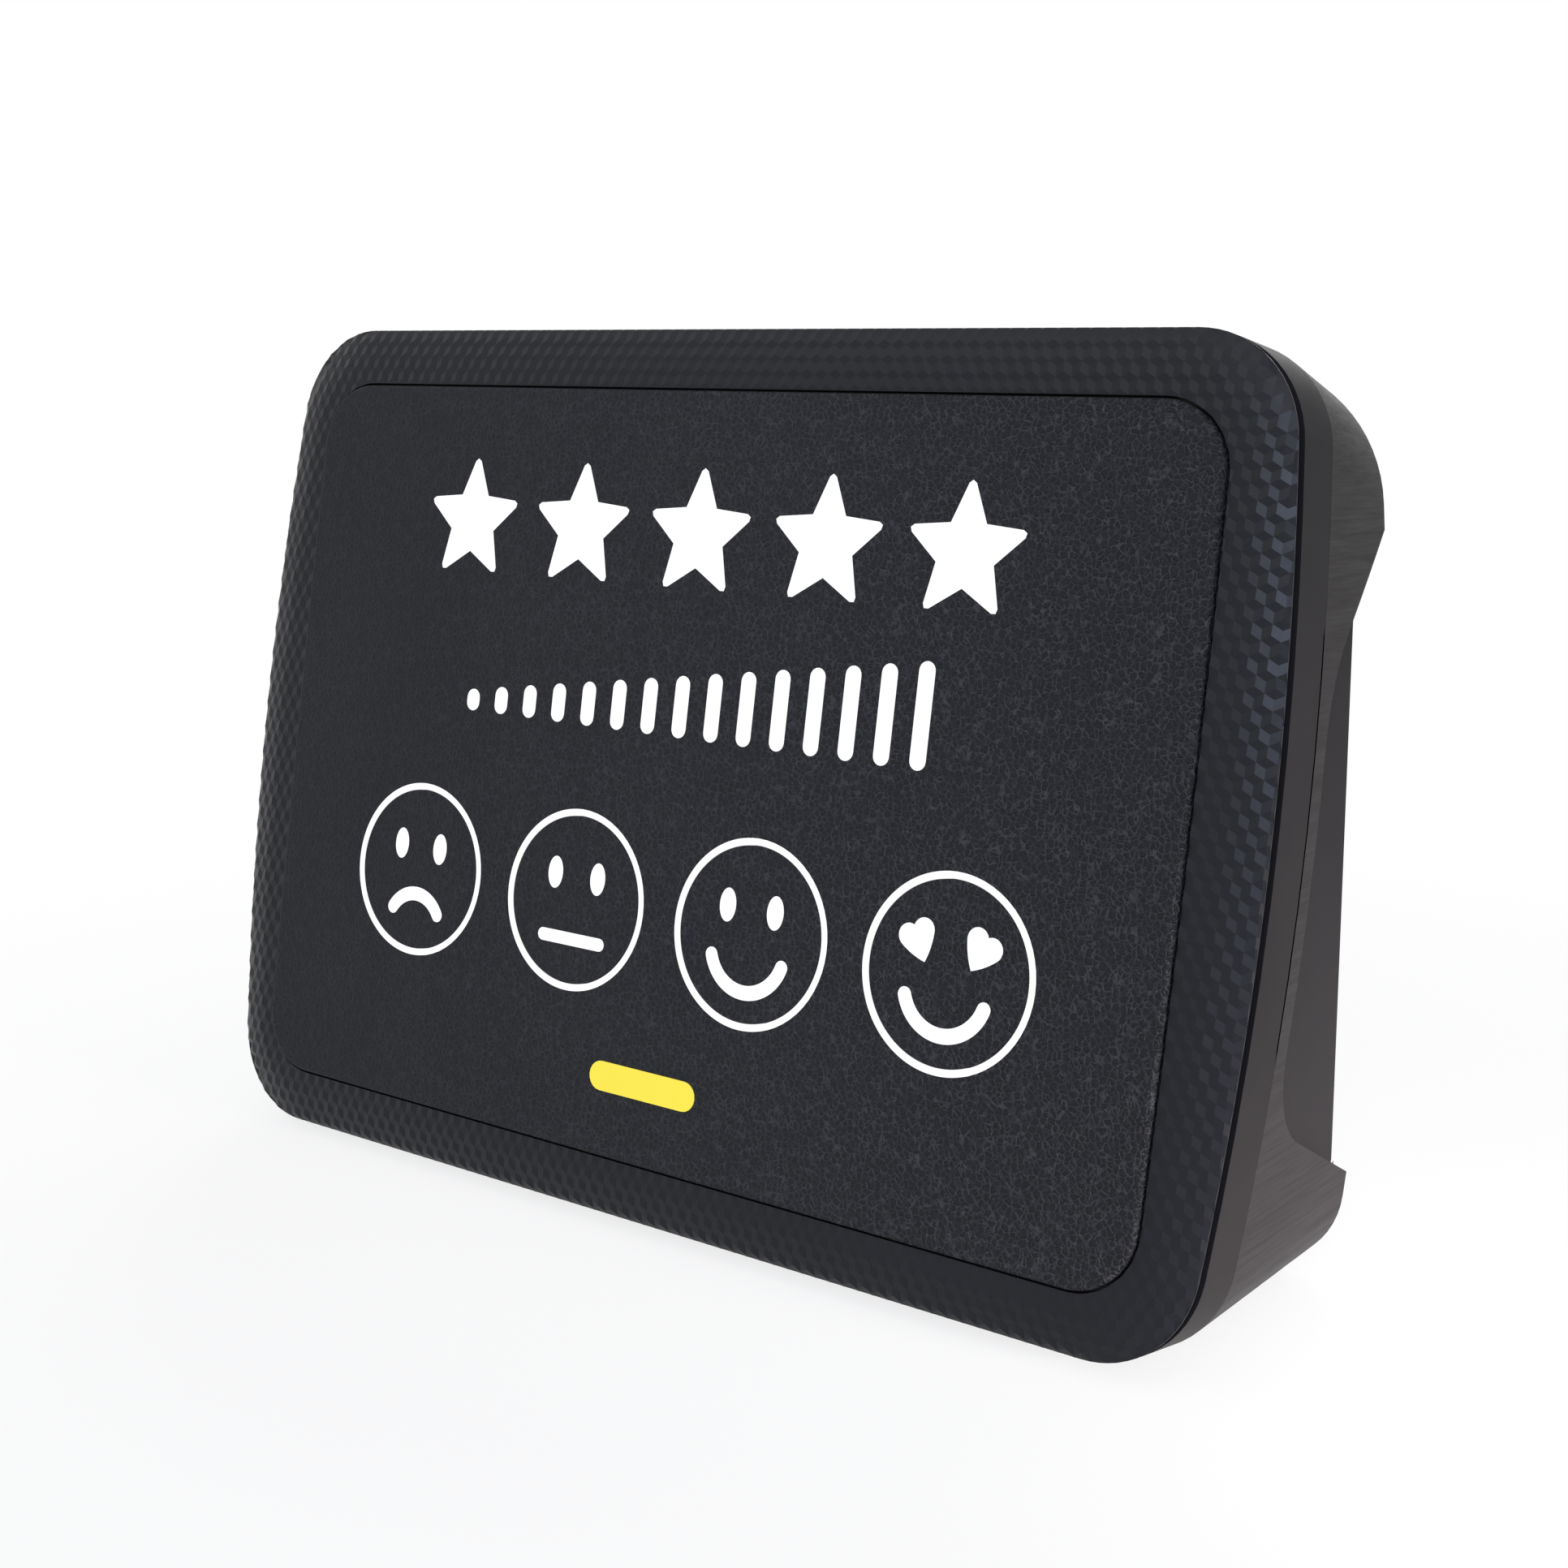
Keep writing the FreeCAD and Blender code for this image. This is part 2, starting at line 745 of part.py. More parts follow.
def make_back_cover():
    """Back plate with two side walls that show through the scoops, posts, vents and openings."""
    plate_outline = back_outline.inset(shell_wall + cover_clearance)
    plate = plate_outline.prism(plate_front, plate_back)
    core = shell_loft(shell_wall + cover_clearance)
    slab = block(-cover_half_width, cover_half_width, -far, plate_back, -far, far)
    plate = plate.common(slab)
    wall_front = shell_flange_back + flange_head_thick + layer_gap
    behind = stand(block(-far, far, wall_front, far, -far, far))
    walls = []
    for side in (-1, 1):
        low_x = min(side * cover_half_width, side * (cover_half_width - cover_wall))
        wall = block(low_x, low_x + cover_wall, -far, plate_front, -far, far)
        walls.append(wall.common(core).common(behind))
    body = merged([plate] + walls)
    posts = [rod(main_post_r, board_back(), plate_front, x, z) for x, z in main_post_places()]
    body = merged([body] + posts)
    for x, z in main_post_places():
        pilot_r = main_screw_r - screw_pilot_clearance
        body = body.cut(rod(pilot_r, board_back() - overrun, plate_front - overrun, x, z))
    for x, z in boss_places():
        body = body.cut(rod(cover_screw_r + screw_hole_clearance, plate_front - overrun, back_plane, x, z))
        recess = rod(cover_head_r + head_clearance, plate_front + cover_head_recess, back_plane, x, z)
        body = body.cut(recess)
    for x in (-keyhole_pitch / 2, keyhole_pitch / 2):
        body = body.cut(keyhole_cutter(x))
    for step in range(vent_count):
        x = (step - (vent_count - 1) / 2) * vent_pitch
        body = body.cut(vent_cutter(x))
    nose_hole_r = inlet_nose_r + inlet_nose_clearance
    body = body.cut(rod(nose_hole_r, plate_front - overrun, back_plane + overrun, inlet_x, service_z))
    half_width = rocker_body[0] / 2 + rocker_hole_clearance
    half_height = rocker_body[1] / 2 + rocker_hole_clearance
    body = body.cut(block(
        rocker_x - half_width, rocker_x + half_width, plate_front - overrun, back_plane + overrun,
        service_z - half_height, service_z + half_height,
    ))
    return body.removeSplitter()


def make_cover_screws():
    seat = plate_front + cover_head_recess
    shank_r = cover_screw_r - screw_pilot_clearance
    return Part.makeCompound([
        screw(shank_r, cover_head_r, cover_head_thick, cover_screw_length, x, seat, z)
        for x, z in boss_places()
    ])


def board_back():
    return plate_front - main_board_standoff


def main_post_places():
    width, height = main_board_size
    xs = (-width / 2 + main_post_in, width / 2 - main_post_in)
    zs = (main_board_z - height / 2 + main_post_in, main_board_z + height / 2 - main_post_in)
    return [(x, z) for x in xs for z in zs]


def make_main_board():
    width, height = main_board_size
    back = board_back() - layer_gap
    body = rounded_block(
        -width / 2, width / 2, back - board_thick, back,
        main_board_z - height / 2, main_board_z + height / 2, main_board_corner,
    )
    for x, z in main_post_places():
        hole_r = main_screw_r + screw_hole_clearance
        body = body.cut(rod(hole_r, back - board_thick - overrun, back + overrun, x, z))
    return body


def make_board_screws():
    """Screws that hold the main board to its posts, with their heads on the front of the board."""
    front = board_back() - layer_gap - board_thick
    shank_r = main_screw_r - 2 * screw_pilot_clearance
    screws = []
    for x, z in main_post_places():
        body = screw(shank_r, main_head_r, main_head_thick, main_screw_length, 0, 0, 0)
        body.rotate(FreeCAD.Vector(0, 0, 0), FreeCAD.Vector(0, 0, 1), 180)
        body.translate(FreeCAD.Vector(x, front, z))
        screws.append(body)
    return Part.makeCompound(screws)


def on_main_board(size, x, z):
    """Block on the front of the main board, placed from the board's middle."""
    width, height, thick = size
    back = board_back() - layer_gap - board_thick
    return block(
        x - width / 2, x + width / 2, back - thick, back,
        main_board_z + z - height / 2, main_board_z + z + height / 2,
    )


def behind_main_board(radius, height, x, z):
    """Round component on the back of the main board."""
    front = board_back() - layer_gap
    return rod(radius, front, front + height, x, main_board_z + z)


def make_clock_cell():
    return behind_main_board(cell_r, cell_thick, cell_place[0], cell_place[1])


def make_cell_holder():
    """Open clip round the clock cell."""
    front = board_back() - layer_gap
    end = front + cell_thick + cell_holder_rise
    inner = cell_r + cell_holder_gap
    outer = inner + cell_holder_wall
    x = cell_place[0]
    z = main_board_z + cell_place[1]
    half = cell_holder_mouth / 2
    mouth = block(x - half, x + half, front - overrun, end + overrun, z, z + 2 * outer)
    return tube(outer, inner, front, end, x, z).cut(mouth)


def make_buzzer():
    x, z = buzzer_place
    body = behind_main_board(buzzer_r, buzzer_height, x, z)
    top = board_back() - layer_gap + buzzer_height
    return body.cut(rod(buzzer_hole_r, top - buzzer_hole_depth, top + overrun, x, main_board_z + z))


def make_capacitors():
    x, z = capacitor_place
    return Part.makeCompound([
        behind_main_board(capacitor_r, capacitor_height, x + step * capacitor_pitch, z)
        for step in range(capacitor_count)
    ])


def make_ribbon_sockets():
    """Socket on the back of the light board and its partner on the main board."""
    width, height, thick = connector_size
    back = light_board_front + board_thick
    light = stand(block(
        -width / 2, width / 2, back, back + thick, main_board_z + ribbon_offset_low - height / 2,
        main_board_z + ribbon_offset_low + height / 2,
    ))
    main = on_main_board(connector_size, 0, ribbon_offset_high)
    return Part.makeCompound([light, main])


def make_ribbon():
    """Flat ribbon in an S bend between its two sockets."""
    thick = connector_size[2]
    tip = stand(Part.Vertex(0, light_board_front + board_thick + thick, main_board_z + ribbon_offset_low))
    start_y = tip.Vertexes[0].Y + ribbon_gap
    start_z = tip.Vertexes[0].Z
    end_y = board_back() - layer_gap - board_thick - thick - ribbon_gap
    end_z = main_board_z + ribbon_offset_high
    middle = 0.5 * (start_y + end_y)
    half = ribbon_thick / 2
    side = ribbon_width / 2
    near = block(-side, side, start_y, middle + half, start_z - half, start_z + half)
    rise = block(-side, side, middle - half, middle + half, start_z - half, end_z + half)
    away = block(-side, side, middle - half, end_y, end_z - half, end_z + half)
    return merged([near, rise, away])


def make_power_inlet():
    """Round power socket behind the back plate with its nose through the hole."""
    width, height, depth = inlet_body
    back = plate_front - layer_gap
    body = rounded_block(
        inlet_x - width / 2, inlet_x + width / 2, back - depth, back,
        service_z - height / 2, service_z + height / 2, inlet_corner,
    )
    nose_end = plate_back - inlet_nose_setback
    bore_end = nose_end - inlet_bore_depth
    body = merged([body, rod(inlet_nose_r, back - overrun, nose_end, inlet_x, service_z)])
    body = body.cut(rod(inlet_bore_r, bore_end, nose_end + overrun, inlet_x, service_z))
    pin = rod(inlet_pin_r, bore_end - overrun, nose_end - inlet_pin_setback, inlet_x, service_z)
    return merged([body, pin])


def rocker_axis_y():
    return plate_back - rocker_axle_depth


def make_rocker_housing():
    """Switch body behind the plate, with a thin frame on the plate's outer face."""
    width, height, depth = rocker_body
    frame_width, frame_height = rocker_frame
    front = plate_front - depth
    frame_end = back_plane - rocker_frame_setback
    body = block(
        rocker_x - width / 2, rocker_x + width / 2, front, frame_end,
        service_z - height / 2, service_z + height / 2,
    )
    rim = rounded_block(
        rocker_x - frame_width / 2, rocker_x + frame_width / 2, plate_back + layer_gap, frame_end,
        service_z - frame_height / 2, service_z + frame_height / 2, rocker_frame_corner,
    )
    body = merged([body, rim])
    pad_width, pad_height = rocker_pad
    gap = rocker_clearance
    swing = pad_width / 2 * math.sin(math.radians(rocker_throw_deg))
    pocket_depth = rocker_thick + swing + rocker_pocket_reserve
    half_width = pad_width / 2 + gap
    half_height = pad_height / 2 + gap
    pocket = block(
        rocker_x - half_width, rocker_x + half_width, back_plane - pocket_depth, back_plane + overrun,
        service_z - half_height, service_z + half_height,
    )
    return body.cut(pocket).cut(rocker_axle(rocker_axle_r + rocker_axle_clearance, rocker_axle_seat))


def rocker_axle(radius, reach):
    """Upright axle of the rocker, or its bore, that reaches past the pocket's walls at both ends."""
    length = rocker_pad[1] + 2 * (rocker_clearance + reach)
    start = FreeCAD.Vector(rocker_x, rocker_axis_y(), service_z - length / 2)
    return Part.makeCylinder(radius, length, start, FreeCAD.Vector(0, 0, 1))


def make_power_rocker():
    """Rocker with two slanted pads that meet at a shallow valley, on a short axle."""
    pad_width, pad_height = rocker_pad
    half = pad_width / 2
    tilt = math.radians(rocker_throw_deg / 2)
    axis = rocker_axis_y()
    rise = half * math.tan(tilt)
    valley = axis + rocker_axle_r + rocker_valley
    back_y = valley - rocker_thick
    edge = (half * math.cos(tilt), valley + rise - rocker_edge_drop)
    foot = (half * rocker_foot_share, back_y + rocker_foot_rise)
    points = [(-edge[0], edge[1]), (0.0, valley), edge, foot, (0.0, back_y), (-foot[0], foot[1])]
    vectors = [FreeCAD.Vector(rocker_x + x, y, service_z - pad_height / 2) for x, y in points]
    body = Part.Face(Part.makePolygon(vectors + [vectors[0]])).extrude(FreeCAD.Vector(0, 0, pad_height))
    body = merged([body, rocker_axle(rocker_axle_r, rocker_axle_seat - rocker_axle_end_gap)])
    body.rotate(FreeCAD.Vector(rocker_x, axis, service_z), FreeCAD.Vector(0, 0, 1), rocker_throw_deg / 2)
    return body


def build_nodes():
    """Every sub-part by name, in the standing frame."""
    nodes = {
        "front_panel": stand(make_front_panel()),
        "bezel": stand(make_bezel()),
        "groove_seal": stand(make_groove_seal()),
        "middle_frame": stand(make_middle_frame()),
        "frame_flange": stand(make_frame_flange()),
        "diffuser_sheet": stand(make_diffuser_sheet()),
        "light_baffle": stand(make_light_baffle()),
        "light_board": stand(make_light_board()),
        "board_lamps": stand(make_lamps()),
        "switch_bodies": stand(make_switch_bodies()),
        "flange_screws": stand(make_flange_screws()),
        "rear_shell": make_rear_shell(),
        "shell_flange": make_shell_flange(),
        "shell_bosses": make_shell_bosses(),
        "back_cover": make_back_cover(),
        "cover_screws": make_cover_screws(),
        "rubber_feet": make_rubber_feet(),
        "main_board": make_main_board(),
        "board_screws": make_board_screws(),
        "processor": on_main_board(processor_size, processor_place[0], processor_place[1]),
        "radio_module": on_main_board(radio_size, radio_place[0], radio_place[1]),
        "clock_cell": make_clock_cell(),
        "cell_holder": make_cell_holder(),
        "buzzer": make_buzzer(),
        "capacitors": make_capacitors(),
        "ribbon_sockets": make_ribbon_sockets(),
        "ribbon": make_ribbon(),
        "power_inlet": make_power_inlet(),
        "rocker_housing": make_rocker_housing(),
        "power_rocker": make_power_rocker(),
    }
    for name, x in zip(key_names, key_xs):
        nodes["light_ring_" + name] = stand(make_light_ring(x))
        nodes["key_cap_" + name] = stand(make_key_cap(x))
        nodes["key_core_" + name] = stand(make_key_core(x))
        nodes["switch_stem_" + name] = stand(make_switch_stem(x))
    return nodes


def main():
    os.makedirs("parts", exist_ok=True)
    nodes = build_nodes()
    whole = Part.makeCompound(list(nodes.values())).optimalBoundingBox(False)
    shift = FreeCAD.Vector(0, -0.5 * (whole.YMin + whole.YMax), -whole.ZMin)
    for name, shape in nodes.items():
        shape.translate(shift)
        shape.exportStep("parts/" + name + ".step")
    print("shift", round(shift.y, 4), round(shift.z, 4))
    print("size", round(whole.XLength, 2), round(whole.YLength, 2), round(whole.ZLength, 2))


main()
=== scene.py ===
"""Looks of a customer feedback button terminal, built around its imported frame."""

import logging
import math
from dataclasses import dataclass
from enum import Enum
from typing import Callable, Sequence

import bmesh
import bpy
from mathutils import Matrix, Vector


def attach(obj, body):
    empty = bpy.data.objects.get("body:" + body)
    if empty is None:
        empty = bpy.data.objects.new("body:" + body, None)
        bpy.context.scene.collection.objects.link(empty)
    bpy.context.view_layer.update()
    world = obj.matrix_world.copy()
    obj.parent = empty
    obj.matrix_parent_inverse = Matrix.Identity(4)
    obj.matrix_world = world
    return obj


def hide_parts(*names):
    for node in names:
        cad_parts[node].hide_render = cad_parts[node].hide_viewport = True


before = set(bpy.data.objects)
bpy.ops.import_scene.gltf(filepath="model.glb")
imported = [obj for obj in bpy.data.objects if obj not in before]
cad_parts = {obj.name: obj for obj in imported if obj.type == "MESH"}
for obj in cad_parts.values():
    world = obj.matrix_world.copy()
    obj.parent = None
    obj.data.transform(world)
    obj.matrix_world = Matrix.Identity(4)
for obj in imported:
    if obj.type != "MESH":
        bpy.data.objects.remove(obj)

BMesh = bmesh.types.BMesh
Socket = bpy.types.NodeSocket
Point = tuple[float, float, float]
Colour = tuple[float, float, float]
LinearColour = tuple[float, float, float, float]

LOG = logging.getLogger("terminal")
MM = 0.001
LEAN = math.radians(11.0)
# Fall of the moulded hairlines towards the back
HAIRLINE_FALL = math.radians(2.6)
HOUSING = "housing"
PRINCIPLED = "Principled BSDF"
# Millimetres within which two corners of a bmesh are one
SAME_SPOT = 1e-4
# Millimetres between the panel and the bezel
PANEL_GAP = 0.45


def face_origin() -> Vector:
    """Middle of the row of keys on the front of the panel, read from one light ring.

    Returns:
        The point in the frame's metres.
    """
    turn = Matrix.Rotation(LEAN, 4, "X")
    spots = [turn @ vert.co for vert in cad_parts["light_ring_fair"].data.vertices]
    heights = [spot.z for spot in spots]
    return turn.inverted() @ Vector((0.0, min(spot.y for spot in spots), (min(heights) + max(heights)) / 2))


FACE_ORIGIN = face_origin()
FACE_TO_FRAME = Matrix.Translation(FACE_ORIGIN) @ Matrix.Rotation(-LEAN, 4, "X") @ Matrix.Scale(MM, 4)


class Mood(Enum):
    """Faces on the keys, from left to right."""

    POOR = "poor"
    FAIR = "fair"
    GOOD = "good"
    GREAT = "great"


def srgb(red: float, green: float, blue: float) -> LinearColour:
    """Turn a colour written as 0 to 255 into linear values.

    Args:
        red: Red value.
        green: Green value.
        blue: Blue value.

    Returns:
        The linear colour with full alpha.
    """
    def linear(value: float) -> float:
        """Linear value of one channel."""
        share = value / 255.0
        return share / 12.92 if share <= 0.04045 else ((share + 0.055) / 1.055) ** 2.4

    return (linear(red), linear(green), linear(blue), 1.0)


class Tree:
    """Short way to add and join the nodes of a material or a group."""

    def __init__(self, tree: bpy.types.NodeTree) -> None:
        """Keep the node tree that the calls work on."""
        self.tree = tree

    def add(self, kind: str, **values: object) -> bpy.types.Node:
        """Add a node and set its properties or its inputs.

        Args:
            kind: Blender's name for the node type, after its first words ShaderNode.
            **values: Property values, or input values with spaces written as underscores.

        Returns:
            The new node.
        """
        node = self.tree.nodes.new("ShaderNode" + kind)
        for key, value in values.items():
            name = key.replace("_", " ")
            if name in node.inputs:
                self.feed(node.inputs[name], value)
            else:
                setattr(node, key, value)
        return node

    def feed(self, socket: Socket, value: object) -> None:
        """Join an output to a socket, or write a plain value on it.

        Args:
            socket: The input that takes the value.
            value: An output socket or a plain value.
        """
        if isinstance(value, Socket):
            self.tree.links.new(value, socket)
        else:
            socket.default_value = value

    def math(self, operation: str, first: object, second: object = 0.0) -> Socket:
        """Add a Math node.

        Args:
            operation: The Math node's operation.
            first: First value or output.
            second: Second value or output.

        Returns:
            The node's output.
        """
        node = self.add("Math")
        node.operation = operation
        self.feed(node.inputs[0], first)
        self.feed(node.inputs[1], second)
        return node.outputs[0]

    def ramp(self, value: object, low: float, high: float,
             start: float, end: float) -> Socket:
        """Map a value from one range to another, without passing its ends.

        Args:
            value: Output to map.
            low: Lowest input value.
            high: Highest input value.
            start: Result at the lowest value.
            end: Result at the highest value.

        Returns:
            The mapped output.
        """
        node = self.add("MapRange")
        labels = ("Value", "From Min", "From Max", "To Min", "To Max")
        for label, item in zip(labels, (value, low, high, start, end)):
            self.feed(node.inputs[label], item)
        return node.outputs["Result"]

    def mix(self, share: object, first: object, second: object) -> Socket:
        """Mix two colours.

        Args:
            share: Share of the second colour.
            first: First colour.
            second: Second colour.

        Returns:
            The mixed colour.
        """
        # The colours' own sockets are inputs 6 and 7 and output 2
        node = self.add("Mix")
        node.data_type = "RGBA"
        self.feed(node.inputs[0], share)
        self.feed(node.inputs[6], first)
        self.feed(node.inputs[7], second)
        return node.outputs[2]

    def along(self, place: object, axis: int) -> Socket:
        """Measure Object coordinates along an axis of the face frame.

        Args:
            place: The Object coordinates.
            axis: 0 across, 1 into the unit, 2 up the face.

        Returns:
            The distance from the middle of the keys, in millimetres.
        """
        direction = FACE_TO_FRAME.col[axis].to_3d().normalized()
        node = self.add("VectorMath", operation="DOT_PRODUCT")
        self.feed(node.inputs[0], place)
        node.inputs[1].default_value = direction
        offset = self.math("SUBTRACT", node.outputs["Value"], direction.dot(FACE_ORIGIN))
        return self.math("DIVIDE", offset, MM)

    def bump(self, height: object, distance: float, strength: object = 0.5) -> Socket:
        """Turn a height into a normal, where distance is the greatest height in metres."""
        node = self.add("Bump", Height=height, Distance=distance, Strength=strength)
        return node.outputs["Normal"]


def new_group(name: str, label: str, value: float, outputs: Sequence[str]) -> tuple[Tree, dict, dict]:
    """Start a shader node group that takes a Vector and one number.

    Args:
        name: Name of the group.
        label: Name of the number's input.
        value: Default of that input.
        outputs: Name of each float output.

    Returns:
        The tree, its input sockets by name and its output sockets by name.
    """
    group = bpy.data.node_groups.new(name, "ShaderNodeTree")
    group.interface.new_socket(name="Vector", in_out="INPUT", socket_type="NodeSocketVector")
    number = group.interface.new_socket(name=label, in_out="INPUT", socket_type="NodeSocketFloat")
    number.default_value = value
    for output in outputs:
        group.interface.new_socket(name=output, in_out="OUTPUT", socket_type="NodeSocketFloat")
    source = group.nodes.new("NodeGroupInput")
    target = group.nodes.new("NodeGroupOutput")
    return Tree(group), dict(source.outputs.items()), dict(target.inputs.items())


def leather_group(name: str) -> bpy.types.NodeTree:
    """Group that makes fine leather creases: a height and a mask of the creases.

    Args:
        name: Name of the group.

    Returns:
        The node group.
    """
    wander_reach = (0.0016, 0.0016, 0.0016)
    small_cells = 2.3
    small_share = 0.3
    tree, given, out = new_group(name, "Cells", 900.0, ["Height", "Creases"])
    wander = tree.add("TexNoise", Vector=given["Vector"], Scale=420.0, Detail=3.0, Roughness=0.6)
    shifted = tree.add("VectorMath", operation="MULTIPLY_ADD")
    tree.feed(shifted.inputs[0], wander.outputs["Color"])
    tree.feed(shifted.inputs[1], wander_reach)
    tree.feed(shifted.inputs[2], given["Vector"])
    distances = []
    for scale in (given["Cells"], tree.math("MULTIPLY", given["Cells"], small_cells)):
        cells = tree.add("TexVoronoi", feature="DISTANCE_TO_EDGE", Scale=scale)
        tree.feed(cells.inputs["Vector"], shifted.outputs[0])
        distances.append(cells.outputs["Distance"])
    wide, narrow = distances
    patch = tree.add("TexNoise", Vector=given["Vector"], Scale=600.0, Detail=2.0)
    depth = tree.ramp(patch.outputs["Fac"], 0.34, 0.6, 0.3, 1.0)
    large = tree.math("MULTIPLY", tree.ramp(wide, 0.0, 0.24, 0.0, 1.0), depth)
    small = tree.math("MULTIPLY", tree.ramp(narrow, 0.0, 0.3, 0.0, 1.0), small_share)
    tree.feed(out["Height"], tree.math("ADD", large, small))
    tree.feed(out["Creases"], tree.math("MULTIPLY", tree.ramp(wide, 0.02, 0.12, 1.0, 0.0), depth))
    return tree.tree


def spark_group(name: str) -> bpy.types.NodeTree:
    """Group that makes the fine texture of a spark-eroded mould.

    Args:
        name: Name of the group.

    Returns:
        The node group.
    """
    tree, given, out = new_group(name, "Grain", 2600.0, ["Height", "Shade"])
    place = given["Vector"]
    grain = tree.add("TexNoise", Vector=place, Scale=given["Grain"], Detail=2.0, Roughness=0.7)
    broad = tree.add("TexNoise", Vector=place, Scale=24.0, Detail=3.0, Roughness=0.55)
    tree.feed(out["Height"], grain.outputs["Fac"])
    tree.feed(out["Shade"], tree.ramp(broad.outputs["Fac"], 0.3, 0.7, 0.0, 1.0))
    return tree.tree


def hairline_group(name: str) -> bpy.types.NodeTree:
    """Group that makes hairlines which run from front to back.

    Args:
        name: Name of the group.

    Returns:
        The node group.
    """
    layers = (((2400.0, 22.0, 2400.0), 2.0), ((520.0, 9.0, 520.0), 3.0))
    share = 0.5
    tree, given, out = new_group(name, "Lines", 1.0, ["Height", "Streaks"])
    turned = tree.add("Mapping", Vector=given["Vector"], Rotation=(HAIRLINE_FALL, 0.0, 0.0))
    noises = []
    for stretch, detail in layers:
        place = tree.add("Mapping", Vector=turned.outputs[0], Scale=stretch)
        noise = tree.add("TexNoise", Vector=place.outputs[0], Scale=given["Lines"], Detail=detail)
        noises.append(noise.outputs["Fac"])
    fine, broad = noises
    tree.feed(out["Height"], fine)
    streaks = tree.math("ADD", tree.math("MULTIPLY", fine, share), tree.math("MULTIPLY", broad, share))
    tree.feed(out["Streaks"], tree.ramp(streaks, 0.36, 0.64, 0.0, 1.0))
    return tree.tree


def handling_group(name: str) -> bpy.types.NodeTree:
    """Group that makes faint wipe marks and dust, for roughness and colour.

    Args:
        name: Name of the group.

    Returns:
        The node group.
    """
    speck_reach = 0.07
    bare_share = 0.86
    tree, given, out = new_group(name, "Amount", 1.0, ["Wipes", "Dust"])
    place, amount = given["Vector"], given["Amount"]
    swipe = tree.add("Mapping", Vector=place, Scale=(60.0, 30.0, 24.0), Rotation=(0.4, 0.5, 0.3))
    wipes = tree.add("TexNoise", Vector=swipe.outputs[0], Scale=1.0, Detail=4.0, Roughness=0.6)
    smears = tree.ramp(wipes.outputs["Fac"], 0.35, 0.65, 0.0, 1.0)
    tree.feed(out["Wipes"], tree.math("MULTIPLY", smears, amount))
    specks = tree.add("TexVoronoi", Vector=place, Scale=260.0)
    near = tree.ramp(specks.outputs["Distance"], 0.0, speck_reach, 1.0, 0.0)
    chance = tree.add("TexWhiteNoise", Vector=specks.outputs["Position"])
    rare = tree.math("GREATER_THAN", chance.outputs["Value"], bare_share)
    tree.feed(out["Dust"], tree.math("MULTIPLY", tree.math("MULTIPLY", near, rare), amount))
    return tree.tree


class Effect(Enum):
    """Shared surface effects, each a shader node group with this name."""

    LEATHER = "leather_creases"
    SPARK = "spark_texture"
    HAIRLINE = "hairlines"
    HANDLING = "handling_marks"

    def place(self, tree: Tree, vector: object, **values: float) -> bpy.types.Node:
        """Put the effect's group in a material.

        Args:
            tree: The material's tree.
            vector: Output that gives the coordinates.
            **values: The group's own inputs.

        Returns:
            The group node.
        """
        node = tree.add("Group")
        node.node_tree = bpy.data.node_groups.get(self.value) or EFFECT_MAKERS[self](self.value)
        tree.feed(node.inputs["Vector"], vector)
        for name, value in values.items():
            tree.feed(node.inputs[name], value)
        return node


EFFECT_MAKERS = {
    Effect.LEATHER: leather_group,
    Effect.SPARK: spark_group,
    Effect.HAIRLINE: hairline_group,
    Effect.HANDLING: handling_group,
}


@dataclass(frozen=True)
class Finish:
    """A plain finish, and the base of the others.

    Attributes:
        base: Factor on the colour that its surface reflects.
        handling: Amount of wipe marks and dust.
        dust: Factor on the colour where dust lies.
        smoother: How much of the roughness a wiped place loses.
        rougher: How much roughness an unwiped place gains.
    """

    name: str
    colour: Colour
    roughness: float = 0.5
    gloss: float = 0.5
    base: float = 1.0
    handling: float = 0.8
    dust: float = 1.4
    smoother: float = 0.04
    rougher: float = 0.05

    def start(self) -> tuple[bpy.types.Material, Tree, bpy.types.Node, Socket]:
        """Start the material with its shader and its coordinates.

        Returns:
            The material, its tree, its Principled shader and the Object coordinates.
        """
        material = bpy.data.materials.new(self.name)
        material.use_nodes = True
        tree = Tree(material.node_tree)
        shader = material.node_tree.nodes[PRINCIPLED]
        shader.inputs["Base Color"].default_value = self.shade(self.base)
        shader.inputs["Roughness"].default_value = self.roughness
        shader.inputs["Specular IOR Level"].default_value = self.gloss
        coordinates = tree.add("TexCoord").outputs["Object"]
        return material, tree, shader, coordinates

    def material(self) -> bpy.types.Material:
        """Build the plain material."""
        return self.start()[0]

    def shared(self) -> bpy.types.Material:
        """The finish's one material, built at its first use."""
        return bpy.data.materials.get(self.name) or self.material()

    def shade(self, factor: float) -> LinearColour:
        """The finish's colour made lighter or darker by a factor."""
        return srgb(*(min(255.0, channel * factor) for channel in self.colour))

    def vary(self, tree: Tree, mask: object, contrast: float) -> Socket:
        """The finish's colour, darker where a mask is low and lighter where it is high."""
        return tree.mix(mask, self.shade(1 - contrast), self.shade(1 + contrast))

    def wear(self, tree: Tree, shader: bpy.types.Node, place: object, tone: object) -> None:
        """Dress the shader with a tone under dust, and with wipe marks in its roughness.

        Args:
            tree: The material's tree.
            shader: Its Principled shader.
            place: The Object coordinates.
            tone: The colour under the dust.
        """
        marks = Effect.HANDLING.place(tree, place, Amount=self.handling)
        tree.feed(shader.inputs["Base Color"], tree.mix(marks.outputs["Dust"], tone, self.shade(self.dust)))
        smooth, rough = self.roughness - self.smoother, self.roughness + self.rougher
        tree.feed(shader.inputs["Roughness"], tree.ramp(marks.outputs["Wipes"], 0.0, 1.0, smooth, rough))


